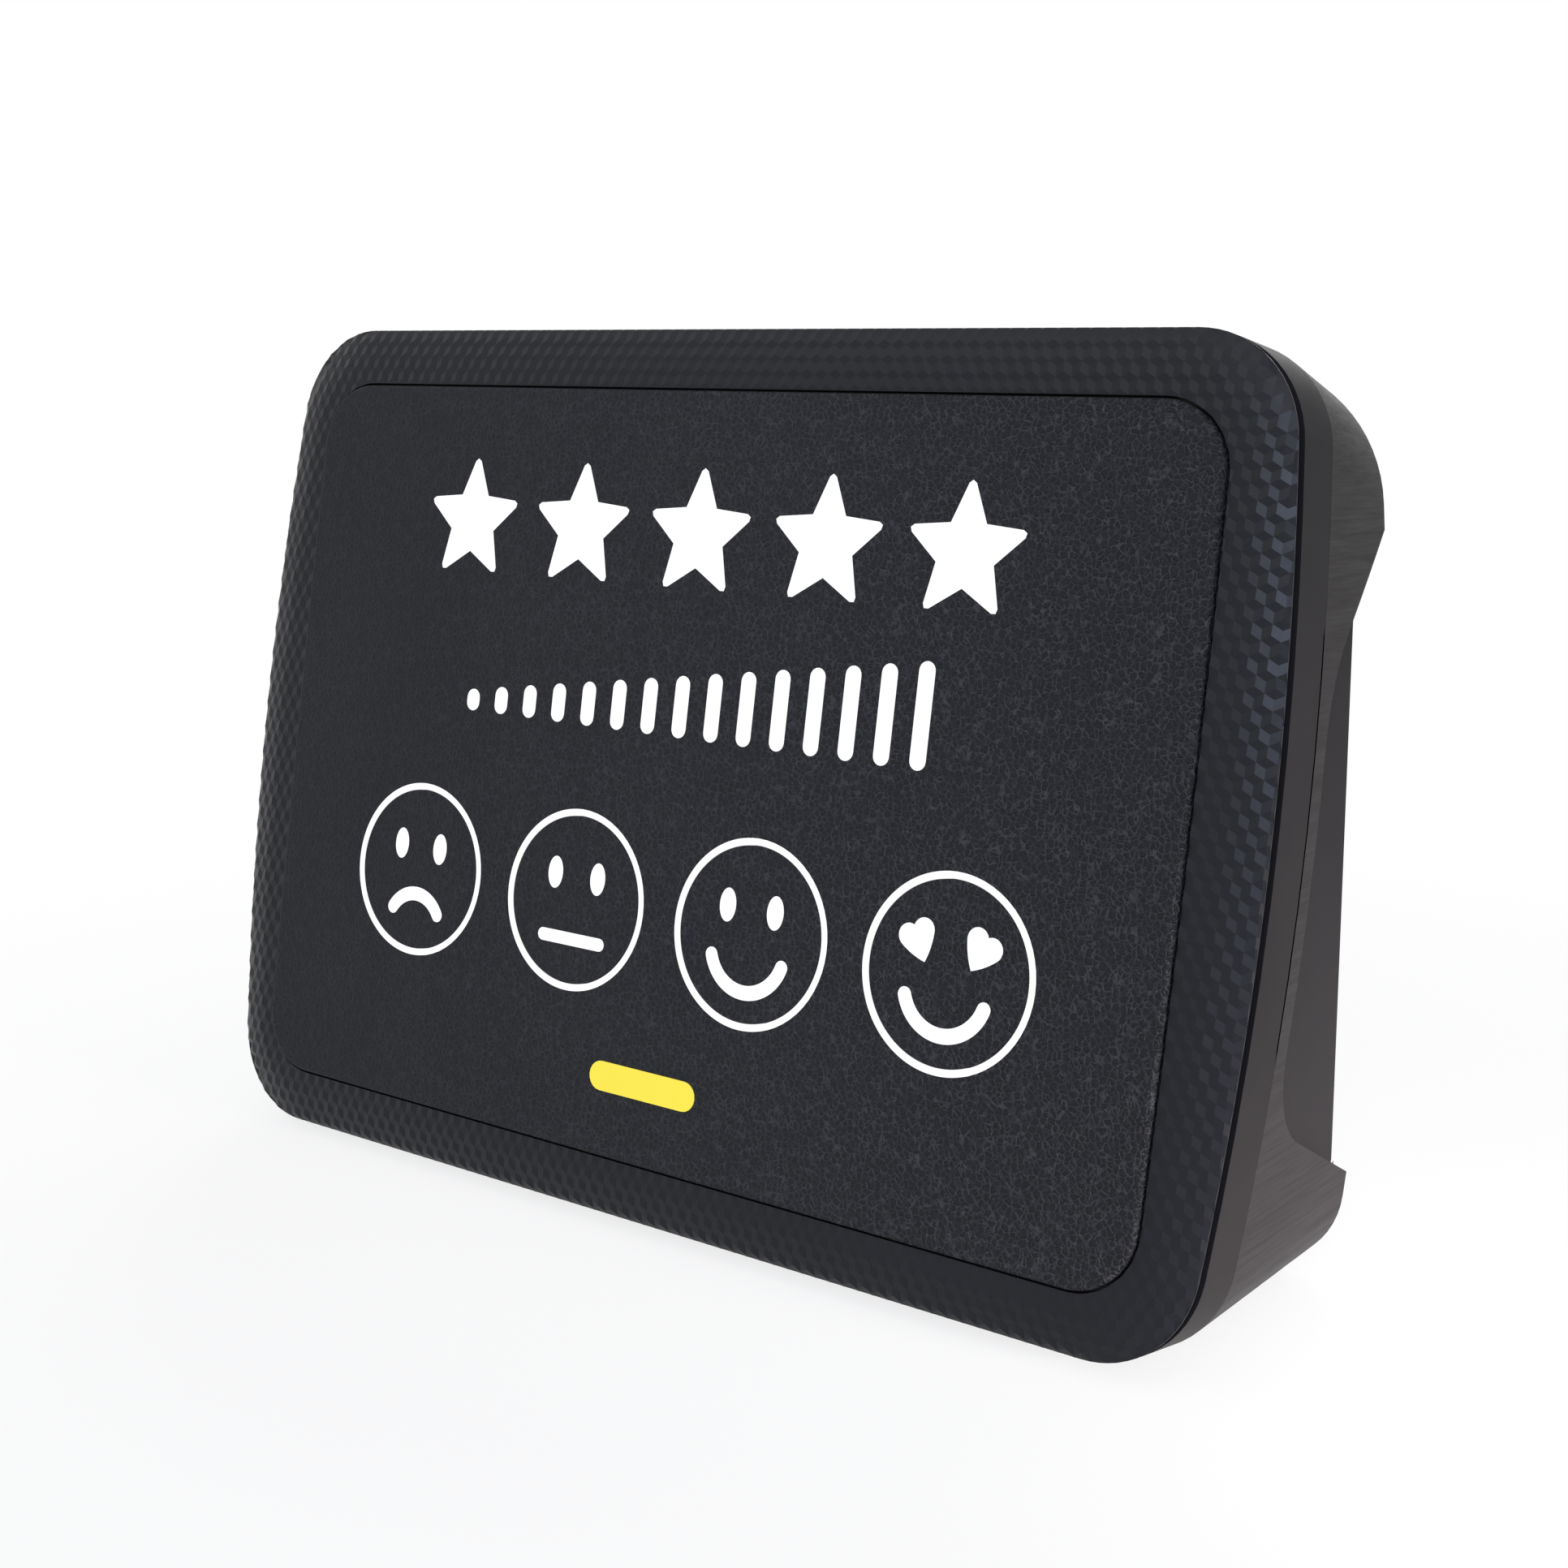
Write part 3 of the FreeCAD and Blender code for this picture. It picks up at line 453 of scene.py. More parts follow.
@dataclass(frozen=True)
class LeatherFinish(Finish):
    """Film with a leather grain, in cells in a metre, that grows stronger over fade millimetres from the
    middle to the right. Its creases carry a painted highlight, a lighter line where light from the right
    catches their rims, and it grows stronger to the right in the same way.
    """

    handling: float = 1.0
    dust: float = 1.5
    smoother: float = 0.03
    rougher: float = 0.04
    cells: float = 900.0
    depth: float = 0.0003
    fade: float = 70.0
    faintest: float = 0.25
    between: float = 0.88
    # Colour of the painted highlight on the creases, lighter than the film
    crease_highlight: Colour = (60, 60, 64)

    def material(self) -> bpy.types.Material:
        """Build the grained material.

        Returns:
            The material.
        """
        material, tree, shader, place = self.start()
        grain = Effect.LEATHER.place(tree, place, Cells=self.cells)
        strength = tree.ramp(tree.along(place, 0), -self.fade, self.fade, self.faintest, 1.0)
        # Painted highlight: the creases are painted lighter, more so to the right where the light falls,
        # and the ground between them darker
        creases = tree.math("MULTIPLY", grain.outputs["Creases"], strength)
        self.wear(tree, shader, place, tree.mix(creases, self.shade(self.between), srgb(*self.crease_highlight)))
        tree.feed(shader.inputs["Normal"], tree.bump(grain.outputs["Height"], self.depth, strength))
        return material


@dataclass(frozen=True)
class MouldedFinish(Finish):
    """Moulded plastic or rubber with a spark-eroded texture, in grains in a metre and metres."""

    grain: float = 2600.0
    depth: float = 0.00002
    contrast: float = 0.05

    def material(self) -> bpy.types.Material:
        """Build the moulded material.

        Returns:
            The material.
        """
        material, tree, shader, place = self.start()
        spark = Effect.SPARK.place(tree, place, Grain=self.grain)
        self.wear(tree, shader, place, self.vary(tree, spark.outputs["Shade"], self.contrast))
        tree.feed(shader.inputs["Normal"], tree.bump(spark.outputs["Height"], self.depth))
        return material


@dataclass(frozen=True)
class GapShadeFinish(MouldedFinish):
    """Moulded plastic painted black along part of its rear edge, as painted shade of the gap where it meets
    the shell, in millimetres in the face frame.
    """

    seam: float = 14.35
    seam_edge: float = 0.1
    seam_low: float = -6.0
    seam_high: float = 60.0
    seam_fade: float = 2.0

    def material(self) -> bpy.types.Material:
        """Build the moulded material and paint the gap's shade black at its rear edge.

        Returns:
            The material.
        """
        material = super().material()
        tree = Tree(material.node_tree)
        shader = material.node_tree.nodes[PRINCIPLED]
        place = tree.add("TexCoord").outputs["Object"]
        height = tree.along(place, 2)
        behind = tree.ramp(tree.along(place, 1), self.seam - self.seam_edge, self.seam, 0.0, 1.0)
        above = tree.ramp(height, self.seam_low, self.seam_low + self.seam_fade, 0.0, 1.0)
        below = tree.ramp(height, self.seam_high - self.seam_fade, self.seam_high, 1.0, 0.0)
        # Painted shade: black colour and no reflection where the band meets the shell, standing in for the
        # shade in the gap between them
        share = tree.math("MULTIPLY", behind, tree.math("MULTIPLY", above, below))
        colour = shader.inputs["Base Color"].links[0].from_socket
        tree.feed(shader.inputs["Base Color"], tree.mix(share, colour, srgb(0, 0, 0)))
        tree.feed(shader.inputs["Specular IOR Level"], tree.ramp(share, 0.0, 1.0, self.gloss, 0.0))
        return material


@dataclass(frozen=True)
class HairlineFinish(Finish):
    """Plastic with moulded hairlines from front to back."""

    handling: float = 0.7
    depth: float = 0.00003
    contrast: float = 0.07
    scatter: float = 0.05

    def material(self) -> bpy.types.Material:
        """Build the hairline material.

        Returns:
            The material.
        """
        material, tree, shader, place = self.start()
        lines = Effect.HAIRLINE.place(tree, place, Lines=1.0)
        streaks = lines.outputs["Streaks"]
        tree.feed(shader.inputs["Base Color"], self.vary(tree, streaks, self.contrast))
        marks = Effect.HANDLING.place(tree, place, Amount=self.handling)
        rough = tree.ramp(streaks, 0.0, 1.0, self.roughness + self.scatter, self.roughness - self.scatter)
        worn = tree.math("MULTIPLY", marks.outputs["Wipes"], self.rougher)
        tree.feed(shader.inputs["Roughness"], tree.math("ADD", rough, worn))
        tree.feed(shader.inputs["Normal"], tree.bump(lines.outputs["Height"], self.depth))
        return material


@dataclass(frozen=True)
class GlowFinish(Finish):
    """Lit window or light guide, with its light slightly uneven."""

    base: float = 0.45
    strength: float = 0.92
    dimmest: float = 0.985

    def material(self) -> bpy.types.Material:
        """Build the glowing material.

        Returns:
            The material.
        """
        material, tree, shader, place = self.start()
        cloud = tree.add("TexNoise", Vector=place, Scale=90.0, Detail=2.0)
        mask = tree.ramp(cloud.outputs["Fac"], 0.3, 0.7, 0.0, 1.0)
        light = tree.mix(mask, self.shade(self.dimmest), self.shade(1.0))
        tree.feed(shader.inputs["Emission Color"], light)
        shader.inputs["Emission Strength"].default_value = self.strength
        return material


@dataclass(frozen=True)
class MetalFinish(Finish):
    """Plated or blackened steel, with faint turning marks."""

    scatter: float = 0.08

    def material(self) -> bpy.types.Material:
        """Build the metal material.

        Returns:
            The material.
        """
        material, tree, shader, place = self.start()
        shader.inputs["Metallic"].default_value = 1.0
        scratch = tree.add("TexNoise", Vector=place, Scale=1800.0, Detail=2.0)
        smooth, rough = self.roughness - self.scatter, self.roughness + self.scatter
        tree.feed(shader.inputs["Roughness"], tree.ramp(scratch.outputs["Fac"], 0.3, 0.7, smooth, rough))
        return material


class Finishes:
    """Every finish on the terminal."""

    # Its creases carry a painted highlight that grows stronger to the right
    leather = LeatherFinish("leather_film", (30, 31, 35), 0.5, 0.14)
    facets = MouldedFinish(
        "faceted_bezel", (21, 22, 27), 0.36, 0.2, grain=3200.0, depth=0.00001, contrast=0.03,
    )
    # Painted shade: near-black rubber on the seal fills the shadowed groove between the bezel and the
    # middle frame
    groove_shade = MouldedFinish("groove_shade_rubber", (7, 7, 8), 0.8, 0.1)
    # Painted shade: a black line at the band's rear edge stands for the shadowed gap to the shell
    band = GapShadeFinish("satin_band", (31, 29, 31), 0.5, 0.07)
    shell = HairlineFinish("hairline_shell", (37, 35, 36), 0.45, 0.08)
    cover = MouldedFinish("cover_plastic", (33, 32, 34), 0.6, 0.06, grain=2200.0, depth=0.00004)
    glow = GlowFinish("white_glow", (254, 254, 255), 0.4, 0.2)
    lamp = GlowFinish("yellow_glow", (244, 226, 74), 0.4, 0.2)
    rubber = MouldedFinish("foot_rubber", (24, 24, 25), 0.85, 0.25)
    rocker = MouldedFinish("rocker_plastic", (28, 28, 30), 0.35, 0.5)
    steel = MetalFinish("bright_steel", (180, 180, 184), 0.3)
    black_steel = MetalFinish("blackened_steel", (40, 40, 42), 0.4)
    board = MouldedFinish("green_board", (16, 70, 40), 0.35, 0.5)
    part = MouldedFinish("board_part", (22, 22, 24), 0.4, 0.5)
    white = MouldedFinish("milky_plastic", (225, 226, 224), 0.5, 0.4)


def dress(node: str, finish: Finish) -> None:
    """Give a frame node its finish in every slot.

    Args:
        node: Name of the node.
        finish: The finish that it gets.
    """
    material = finish.shared()
    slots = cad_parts[node].data.materials
    if not slots:
        slots.append(material)
    for place in range(len(slots)):
        slots[place] = material


def link_mesh(name: str, mesh: BMesh) -> bpy.types.Object:
    """Make a linked object of a bmesh, and free the bmesh.

    Args:
        name: Name of the object.
        mesh: Its bmesh.

    Returns:
        The new object.
    """
    data = bpy.data.meshes.new(name)
    mesh.to_mesh(data)
    mesh.free()
    item = bpy.data.objects.new(name, data)
    bpy.context.scene.collection.objects.link(item)
    return item


def to_piece(name: str, mesh: BMesh, finish: Finish, body: str) -> bpy.types.Object:
    """Turn a bmesh in the face frame into a piece that rides on a body.

    Args:
        name: Name of the piece.
        mesh: The finished bmesh, in millimetres in the face frame.
        finish: Its finish.
        body: The body that it rides on.

    Returns:
        The new object.
    """
    bmesh.ops.transform(mesh, matrix=FACE_TO_FRAME, verts=mesh.verts)
    bmesh.ops.recalc_face_normals(mesh, faces=mesh.faces)
    piece = link_mesh(name, mesh)
    piece.data.materials.append(finish.shared())
    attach(piece, body)
    return piece


class Pen:
    """Draws a closed outline in the XZ plane with spins and straight runs."""

    def __init__(self, x: float, z: float) -> None:
        """Put the pen down at a point.

        Args:
            x: Place across.
            z: Place up.
        """
        self.mesh = bmesh.new()
        self.first = self.mesh.verts.new((x, 0.0, z))
        self.last = self.first

    def line(self, x: float, z: float) -> "Pen":
        """Draw a straight run to a point.

        Args:
            x: Place across.
            z: Place up.

        Returns:
            The pen itself.
        """
        result = bmesh.ops.extrude_vert_indiv(self.mesh, verts=[self.last])
        self.last = result["verts"][0]
        self.last.co = (x, 0.0, z)
        return self

    def arc(self, x: float, z: float, degrees: float, steps: int) -> "Pen":
        """Turn round a centre, where positive degrees run anticlockwise from the front.

        Args:
            x: Centre across.
            z: Centre up.
            degrees: Angle to turn.
            steps: Number of straight pieces.

        Returns:
            The pen itself.
        """
        result = bmesh.ops.spin(
            self.mesh, geom=[self.last], cent=(x, 0.0, z), axis=(0.0, -1.0, 0.0),
            angle=math.radians(degrees), steps=steps, use_duplicate=False,
        )
        self.last = next(item for item in result["geom_last"] if isinstance(item, bmesh.types.BMVert))
        return self

    def solid(self, front: float, back: float) -> BMesh:
        """Close the outline and give it thickness.

        Args:
            front: Depth of its front face.
            back: Depth of its back face.

        Returns:
            The closed bmesh.
        """
        bmesh.ops.remove_doubles(self.mesh, verts=self.mesh.verts, dist=SAME_SPOT)
        bmesh.ops.contextual_create(self.mesh, geom=self.mesh.edges)
        for vert in self.mesh.verts:
            vert.co.y = front
        result = bmesh.ops.extrude_face_region(self.mesh, geom=self.mesh.faces[:])
        moved = [item for item in result["geom"] if isinstance(item, bmesh.types.BMVert)]
        bmesh.ops.translate(self.mesh, verts=moved, vec=(0.0, back - front, 0.0))
        bmesh.ops.triangulate(self.mesh, faces=self.mesh.faces)
        return self.mesh


def centred_row(count: int, pitch: float) -> list[float]:
    """Places along a row whose middle is at zero."""
    return [(step - (count - 1) / 2) * pitch for step in range(count)]


def place_mesh(mesh: BMesh, x: float, z: float, turn: float = 0.0) -> BMesh:
    """Turn a bmesh in the face plane and move it to its place.

    Args:
        mesh: The bmesh.
        x: Place across.
        z: Place up.
        turn: Degrees to turn, anticlockwise from the front.

    Returns:
        The same bmesh.
    """
    matrix = Matrix.Translation((x, 0.0, z)) @ Matrix.Rotation(math.radians(-turn), 4, "Y")
    bmesh.ops.transform(mesh, matrix=matrix, verts=mesh.verts)
    return mesh


def join_meshes(parts: Sequence[BMesh]) -> BMesh:
    """Gather several bmeshes into one, and free them.

    Args:
        parts: The bmeshes to gather.

    Returns:
        One bmesh with all of them.
    """
    whole = bmesh.new()
    for part in parts:
        data = bpy.data.meshes.new("scratch")
        part.to_mesh(data)
        part.free()
        whole.from_mesh(data)
        bpy.data.meshes.remove(data)
    return whole


@dataclass
class Legend:
    """Flat lit shapes that lie in the panel and in the keys, in millimetres."""

    proud: float = 0.06
    sunk: float = 0.3
    oval_steps: int = 36
    end_steps: int = 10
    bow_steps: int = 28
    lobe_steps: int = 16
    side_steps: int = 8

    def flat(self, pen: Pen) -> BMesh:
        """Close an outline as a flat shape, a little proud of its surface."""
        return pen.solid(-self.proud, self.sunk)

    def disc(self, half_width: float, half_height: float) -> BMesh:
        """Oval eye.

        Args:
            half_width: Half its width.
            half_height: Half its height.

        Returns:
            The closed bmesh, with its middle at the origin.
        """
        mesh = self.flat(Pen(1.0, 0.0).arc(0.0, 0.0, 360.0, self.oval_steps))
        bmesh.ops.scale(mesh, vec=(half_width, 1.0, half_height), verts=mesh.verts)
        return mesh

    def bar(self, length: float, width: float) -> BMesh:
        """Straight level stroke with round ends.

        Args:
            length: Whole length.
            width: Width of the stroke.

        Returns:
            The closed bmesh, with its middle at the origin.
        """
        half = length / 2 - width / 2
        pen = Pen(-half, -width / 2)
        for side in (1, -1):
            pen.line(side * half, -side * width / 2).arc(side * half, 0.0, 180.0, self.end_steps)
        return self.flat(pen)

    def bow(self, reach: float, sag: float, width: float) -> BMesh:
        """Curved stroke with round ends, as a smile: its ends are at height 0 and its middle at minus sag.

        Args:
            reach: Half the distance between the ends' centres.
            sag: Depth of the curve.
            width: Width of the stroke.

        Returns:
            The closed bmesh.
        """
        radius = (reach ** 2 + sag ** 2) / (2 * sag)
        centre = radius - sag
        half_angle = math.asin(reach / radius)
        if centre < 0:
            half_angle = math.pi - half_angle
        turn = 2 * math.degrees(half_angle)
        side = math.sin(half_angle)
        fall = -math.cos(half_angle)
        outer = radius + width / 2
        pen = Pen(-outer * side, centre + outer * fall)
        for way in (1, -1):
            pen.arc(0.0, centre, way * turn, self.bow_steps)
            pen.arc(way * radius * side, centre + radius * fall, 180.0, self.end_steps)
        return self.flat(pen)

    def heart(self, lobe: float, apart: float, height: float, shoulder: float) -> BMesh:
        """Full heart of four arcs: a lobe and a bowed side, twice.

        Args:
            lobe: Radius of a lobe.
            apart: Distance of a lobe's centre from the axis.
            height: Whole height.
            shoulder: Degrees below level at which a lobe runs into its side.

        Returns:
            The closed bmesh, with its middle at the origin.
        """
        angle = math.radians(shoulder)
        drop = height - lobe
        beyond = (apart ** 2 + drop ** 2 - lobe ** 2) / 2
        beyond /= lobe + apart * math.cos(angle) - drop * math.sin(angle)
        side_x = apart - beyond * math.cos(angle)
        lift = height / 2 - lobe
        side_z = lift + beyond * math.sin(angle)
        foot = lift - drop
        side_turn = -shoulder - math.degrees(math.atan2(foot - side_z, -side_x))
        lobe_turn = shoulder + 180.0 - math.degrees(math.acos(apart / lobe))
        pen = Pen(0.0, foot).arc(side_x, side_z, side_turn, self.side_steps)
        pen.arc(apart, lift, lobe_turn, self.lobe_steps).arc(-apart, lift, lobe_turn, self.lobe_steps)
        return self.flat(pen.arc(-side_x, side_z, side_turn, self.side_steps))

    def star(self, radius: float) -> BMesh:
        """Five-pointed star with blunted points.

        Args:
            radius: Distance of a point from the middle.

        Returns:
            The closed bmesh, with its middle at the origin.
        """
        valley, shoulder = 0.5 * radius, 0.96 * radius
        blunt = math.radians(3.5)
        points = 5
        pen = None
        for point in range(points):
            tip = math.pi / 2 + point * 2 * math.pi / points
            bottom = tip + math.pi / points
            spots = ((shoulder, tip - blunt), (radius, tip), (shoulder, tip + blunt), (valley, bottom))
            for reach, angle in spots:
                x, z = reach * math.cos(angle), reach * math.sin(angle)
                pen = pen.line(x, z) if pen else Pen(x, z)
        return self.flat(pen)


@dataclass
class Keys:
    """The four lit keys with their rings and faces, in millimetres."""

    pitch: float = 39.7
    eye_apart: float = 5.05
    eye_up: float = 4.35
    eye_half_width: float = 1.72
    eye_half_height: float = 2.88
    smile_width: float = 2.5
    smile_reach: float = 7.45
    smile_sag: float = 5.4
    smile_up: float = -4.45
    frown_width: float = 2.6
    frown_reach: float = 5.9
    frown_sag: float = 3.2
    frown_up: float = -7.9
    flat_length: float = 15.8
    flat_width: float = 2.3
    flat_right: float = 0.1
    flat_up: float = -7.05
    heart_lobe: float = 1.95
    heart_lobe_apart: float = 1.5
    heart_height: float = 6.85
    heart_shoulder: float = 28.0
    heart_apart: float = 5.8
    heart_up: float = 4.3
    heart_turn: float = 25.0

    def pair(self, make: Callable[[], BMesh], apart: float, up: float, turn: float = 0.0) -> list[BMesh]:
        """Two alike shapes on either side of the middle, turned outwards at their tops."""
        return [place_mesh(make(), side * apart, up, -side * turn) for side in (-1, 1)]

    def face(self, mood: Mood, legend: Legend) -> list[BMesh]:
        """Eyes and mouth of one key.

        Args:
            mood: Which key it is.
            legend: Maker of the flat shapes.

        Returns:
            The shapes round the key's centre.
        """
        if mood is Mood.GREAT:
            sizes = (self.heart_lobe, self.heart_lobe_apart, self.heart_height, self.heart_shoulder)
            eyes = self.pair(lambda: legend.heart(*sizes), self.heart_apart, self.heart_up, self.heart_turn)
        else:
            halves = (self.eye_half_width, self.eye_half_height)
            eyes = self.pair(lambda: legend.disc(*halves), self.eye_apart, self.eye_up)
        if mood is Mood.POOR:
            frown = legend.bow(self.frown_reach, self.frown_sag, self.frown_width)
            return eyes + [place_mesh(frown, 0.0, self.frown_up, 180.0)]
        if mood is Mood.FAIR:
            flat = legend.bar(self.flat_length, self.flat_width)
            return eyes + [place_mesh(flat, self.flat_right, self.flat_up)]
        smile = legend.bow(self.smile_reach, self.smile_sag, self.smile_width)
        return eyes + [place_mesh(smile, 0.0, self.smile_up)]

    def build(self) -> None:
        """Dress the keys and lay their faces in them."""
        legend = Legend()
        for mood, x in zip(Mood, centred_row(len(Mood), self.pitch)):
            key = mood.value
            shapes = [place_mesh(shape, x, 0.0) for shape in self.face(mood, legend)]
            to_piece("face_" + key, join_meshes(shapes), Finishes.glow, "key_" + key)
            dress("key_cap_" + key, Finishes.leather)
            dress("key_core_" + key, Finishes.white)
            dress("switch_stem_" + key, Finishes.part)
            dress("light_ring_" + key, Finishes.glow)
            LOG.info("key %s dressed", key)


@dataclass
class PanelLegends:
    """Generic lit signs on the panel over and under the keys, in millimetres."""

    star_count: int = 5
    star_radius: float = 11.4
    star_pitch: float = 27.2
    star_up: float = 66.0
    stroke_count: int = 15
    stroke_pitch: float = 7.1
    stroke_width: float = 3.1
    stroke_base: float = 31.0
    stroke_low: float = 4.0
    stroke_high: float = 17.5
    lamp_length: float = 24.0
    lamp_width: float = 5.2
    lamp_up: float = -29.6

    def build(self) -> None:
        """Lay the stars, the rising scale and the yellow lamp window in the panel."""
        legend = Legend()
        stars = []
        for x in centred_row(self.star_count, self.star_pitch):
            stars.append(place_mesh(legend.star(self.star_radius), x, self.star_up))
        to_piece("rating_stars", join_meshes(stars), Finishes.glow, HOUSING)
        strokes = []
        for step, x in enumerate(centred_row(self.stroke_count, self.stroke_pitch)):
            share = step / (self.stroke_count - 1)
            height = self.stroke_low + share * (self.stroke_high - self.stroke_low)
            stroke = legend.bar(height, self.stroke_width)
            strokes.append(place_mesh(stroke, x, self.stroke_base + height / 2, 90.0))
        to_piece("rising_scale", join_meshes(strokes), Finishes.glow, HOUSING)
        lamp = place_mesh(legend.bar(self.lamp_length, self.lamp_width), 0.0, self.lamp_up)
        to_piece("lamp_window", lamp, Finishes.lamp, HOUSING)
        LOG.info("panel legends laid")


@dataclass(frozen=True)
class FaceOutline:
    """Rounded rectangle with bowed sides, as the bezel and the panel have, in millimetres."""

    half_width: float
    low: float
    high: float
    corner: float
    side_radius: float
    corner_steps: int = 16
    side_steps: int = 24

    def middle(self) -> float:
        """Height of the outline's middle."""
        return (self.low + self.high) / 2

    def inside(self, x: float, z: float) -> float:
        """Distance from a point to the outline, positive inside it.

        Args:
            x: Place across.
            z: Place up.

        Returns:
            The distance in millimetres.
        """
        centre = self.half_width - self.side_radius
        side = self.side_radius - math.hypot(abs(x) - centre, z - self.middle())
        end = (self.high - self.low) / 2 - abs(z - self.middle())
        if side >= self.corner or end >= self.corner:
            return min(side, end)
        return self.corner - math.hypot(self.corner - side, self.corner - end)

    def solid(self, front: float, back: float) -> BMesh:
        """Closed prism of the outline.

        Args:
            front: Depth of its front.
            back: Depth of its back.

        Returns:
            The bmesh.
        """
        rise = (self.high - self.low) / 2 - self.corner
        centre = self.half_width - self.side_radius
        corner_x = centre + math.sqrt((self.side_radius - self.corner) ** 2 - rise ** 2)
        slope = math.degrees(math.atan2(rise, corner_x - centre))
        turn = 90.0 - slope
        pen = Pen(-corner_x, self.low)
        for side in (1, -1):
            start = self.middle() - side * rise
            end = self.middle() + side * rise
            pen.line(side * corner_x, start - side * self.corner)
            pen.arc(side * corner_x, start, turn, self.corner_steps)
            pen.arc(side * centre, self.middle(), 2 * slope, self.side_steps)
            pen.arc(side * corner_x, end, turn, self.corner_steps)
        return pen.solid(front, back)


@dataclass
class Bezel:
    """Frame round the panel, covered with a relief of small cubes, in millimetres.

    Attributes:
        back: Depth at which the relief ends and the ledge begins.
        spare: How far the relief is laid past the outline before it is cut.
        overrun: How far a cutter stands past what it cuts.
        parting: Gap between the relief and the ledge, so that they share no face.
        steps: Distance from the rim, and how far the front has fallen there.
    """

    outline: FaceOutline = FaceOutline(
        half_width=110.17, low=-54.1, high=101.6, corner=18.0, side_radius=591.0,
    )
    opening: FaceOutline = FaceOutline(
        half_width=97.7 + PANEL_GAP, low=-43.7 - PANEL_GAP, high=90.7 + PANEL_GAP,
        corner=11.3 + PANEL_GAP, side_radius=3450.0,
    )
    front: float = 0.8
    back: float = 3.0
    facet: float = 1.667
    relief: float = 0.29
    spare: float = 4.0
    overrun: float = 2.0
    parting: float = 0.01
    steps: tuple[tuple[float, float], ...] = ((7.1, 0.0), (5.6, 0.1), (2.2, 0.85), (0.6, 1.35), (0.0, 1.85))

    def crown(self, distance: float) -> float:
        """How far the bezel falls away at a distance from its rim.

        Args:
            distance: Distance from the rim, positive inside it.

        Returns:
            The fall of the front in millimetres.
        """
        for (far, drop), (near, more) in zip(self.steps, self.steps[1:]):
            if distance >= far:
                return drop
            if distance >= near:
                return drop + (far - distance) / (far - near) * (more - drop)
        return self.steps[-1][1]

    def relief_slab(self) -> BMesh:
        """Slab whose front is a relief of cubes seen on their corners.

        Returns:
            The bmesh, wider than the bezel on every side.
        """
        step_x = self.facet * math.cos(math.radians(30))
        columns = math.ceil((self.outline.half_width + self.spare) / step_x)
        height = self.outline.high - self.outline.low + 2 * self.spare
        rows = math.ceil(height / self.facet / 2) + columns // 2 + 2
        middle = self.outline.middle()
        mesh = bmesh.new()
        bmesh.ops.create_grid(mesh, x_segments=2 * columns, y_segments=2 * rows, size=0.5)
        drops = (self.relief / 2, 0.0, self.relief)
        for vert in mesh.verts:
            column = round(vert.co.x * 2 * columns)
            row = round(vert.co.y * 2 * rows)
            depth = self.front + drops[(column - row) % 3]
            vert.co = (column * step_x, depth, middle + (row + column / 2) * self.facet)
        bmesh.ops.triangulate(mesh, faces=mesh.faces, quad_method="SHORT_EDGE")
        away = [face for face in mesh.faces if not self.near(face.calc_center_median())]
        bmesh.ops.delete(mesh, geom=away, context="FACES")
        result = bmesh.ops.extrude_face_region(mesh, geom=mesh.faces[:])
        for item in result["geom"]:
            if isinstance(item, bmesh.types.BMVert):
                item.co.y = self.back + self.overrun / 2
        return mesh

    def near(self, spot: Vector) -> bool:
        """Whether a point of the relief lies on or beside the bezel.

        Args:
            spot: The point in the face frame.

        Returns:
            True where the relief is kept for the cut.
        """
        margin = 3.0
        outside = -self.outline.inside(spot.x, spot.z)
        return outside < margin and self.opening.inside(spot.x, spot.z) < margin

    def rear(self) -> BMesh:
        """Ledge and tongue behind the relief, as the frame's own bezel has them.

        Returns:
            The closed bmesh.
        """
        mesh = bmesh.new()
        mesh.from_mesh(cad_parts["bezel"].data)
        bmesh.ops.transform(mesh, matrix=FACE_TO_FRAME.inverted(), verts=mesh.verts)
        bmesh.ops.remove_doubles(mesh, verts=mesh.verts, dist=SAME_SPOT)
        result = bmesh.ops.bisect_plane(
            mesh, geom=mesh.verts[:] + mesh.edges[:] + mesh.faces[:], dist=SAME_SPOT / 10,
            plane_co=(0.0, self.back + self.parting, 0.0), plane_no=(0.0, 1.0, 0.0), clear_inner=True,
        )
        rim = [item for item in result["geom_cut"] if isinstance(item, bmesh.types.BMEdge)]
        bmesh.ops.triangle_fill(mesh, edges=rim, use_beauty=True)
        return mesh

    def build(self) -> None:
        """Cut the relief to the bezel's outline, bend it over the crown and put it in place."""
        slab = scratch_object("relief_slab", self.relief_slab())
        rim = self.outline.solid(self.front - self.overrun, self.back)
        hole = self.opening.solid(self.front - 2 * self.overrun, self.back + 2 * self.overrun)
        cut(slab, scratch_object("bezel_rim", rim), Cut.INTERSECT)
        cut(slab, scratch_object("bezel_hole", hole), Cut.DIFFERENCE)
        mesh = bmesh.new()
        mesh.from_mesh(slab.data)
        bpy.data.objects.remove(slab)
        deepest = self.front + self.relief + 10 * SAME_SPOT
        for vert in mesh.verts:
            if vert.co.y < deepest:
                vert.co.y += self.crown(self.outline.inside(vert.co.x, vert.co.z))
        mesh = join_meshes([mesh, self.rear()])
        piece = to_piece("faceted_bezel", mesh, Finishes.facets, HOUSING)
        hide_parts("bezel")
        LOG.info("bezel has %d faces", len(piece.data.polygons))


def scratch_object(name: str, mesh: BMesh) -> bpy.types.Object:
    """Closed object that is cut, or that cuts another, and is then removed."""
    bmesh.ops.recalc_face_normals(mesh, faces=mesh.faces)
    return link_mesh(name, mesh)


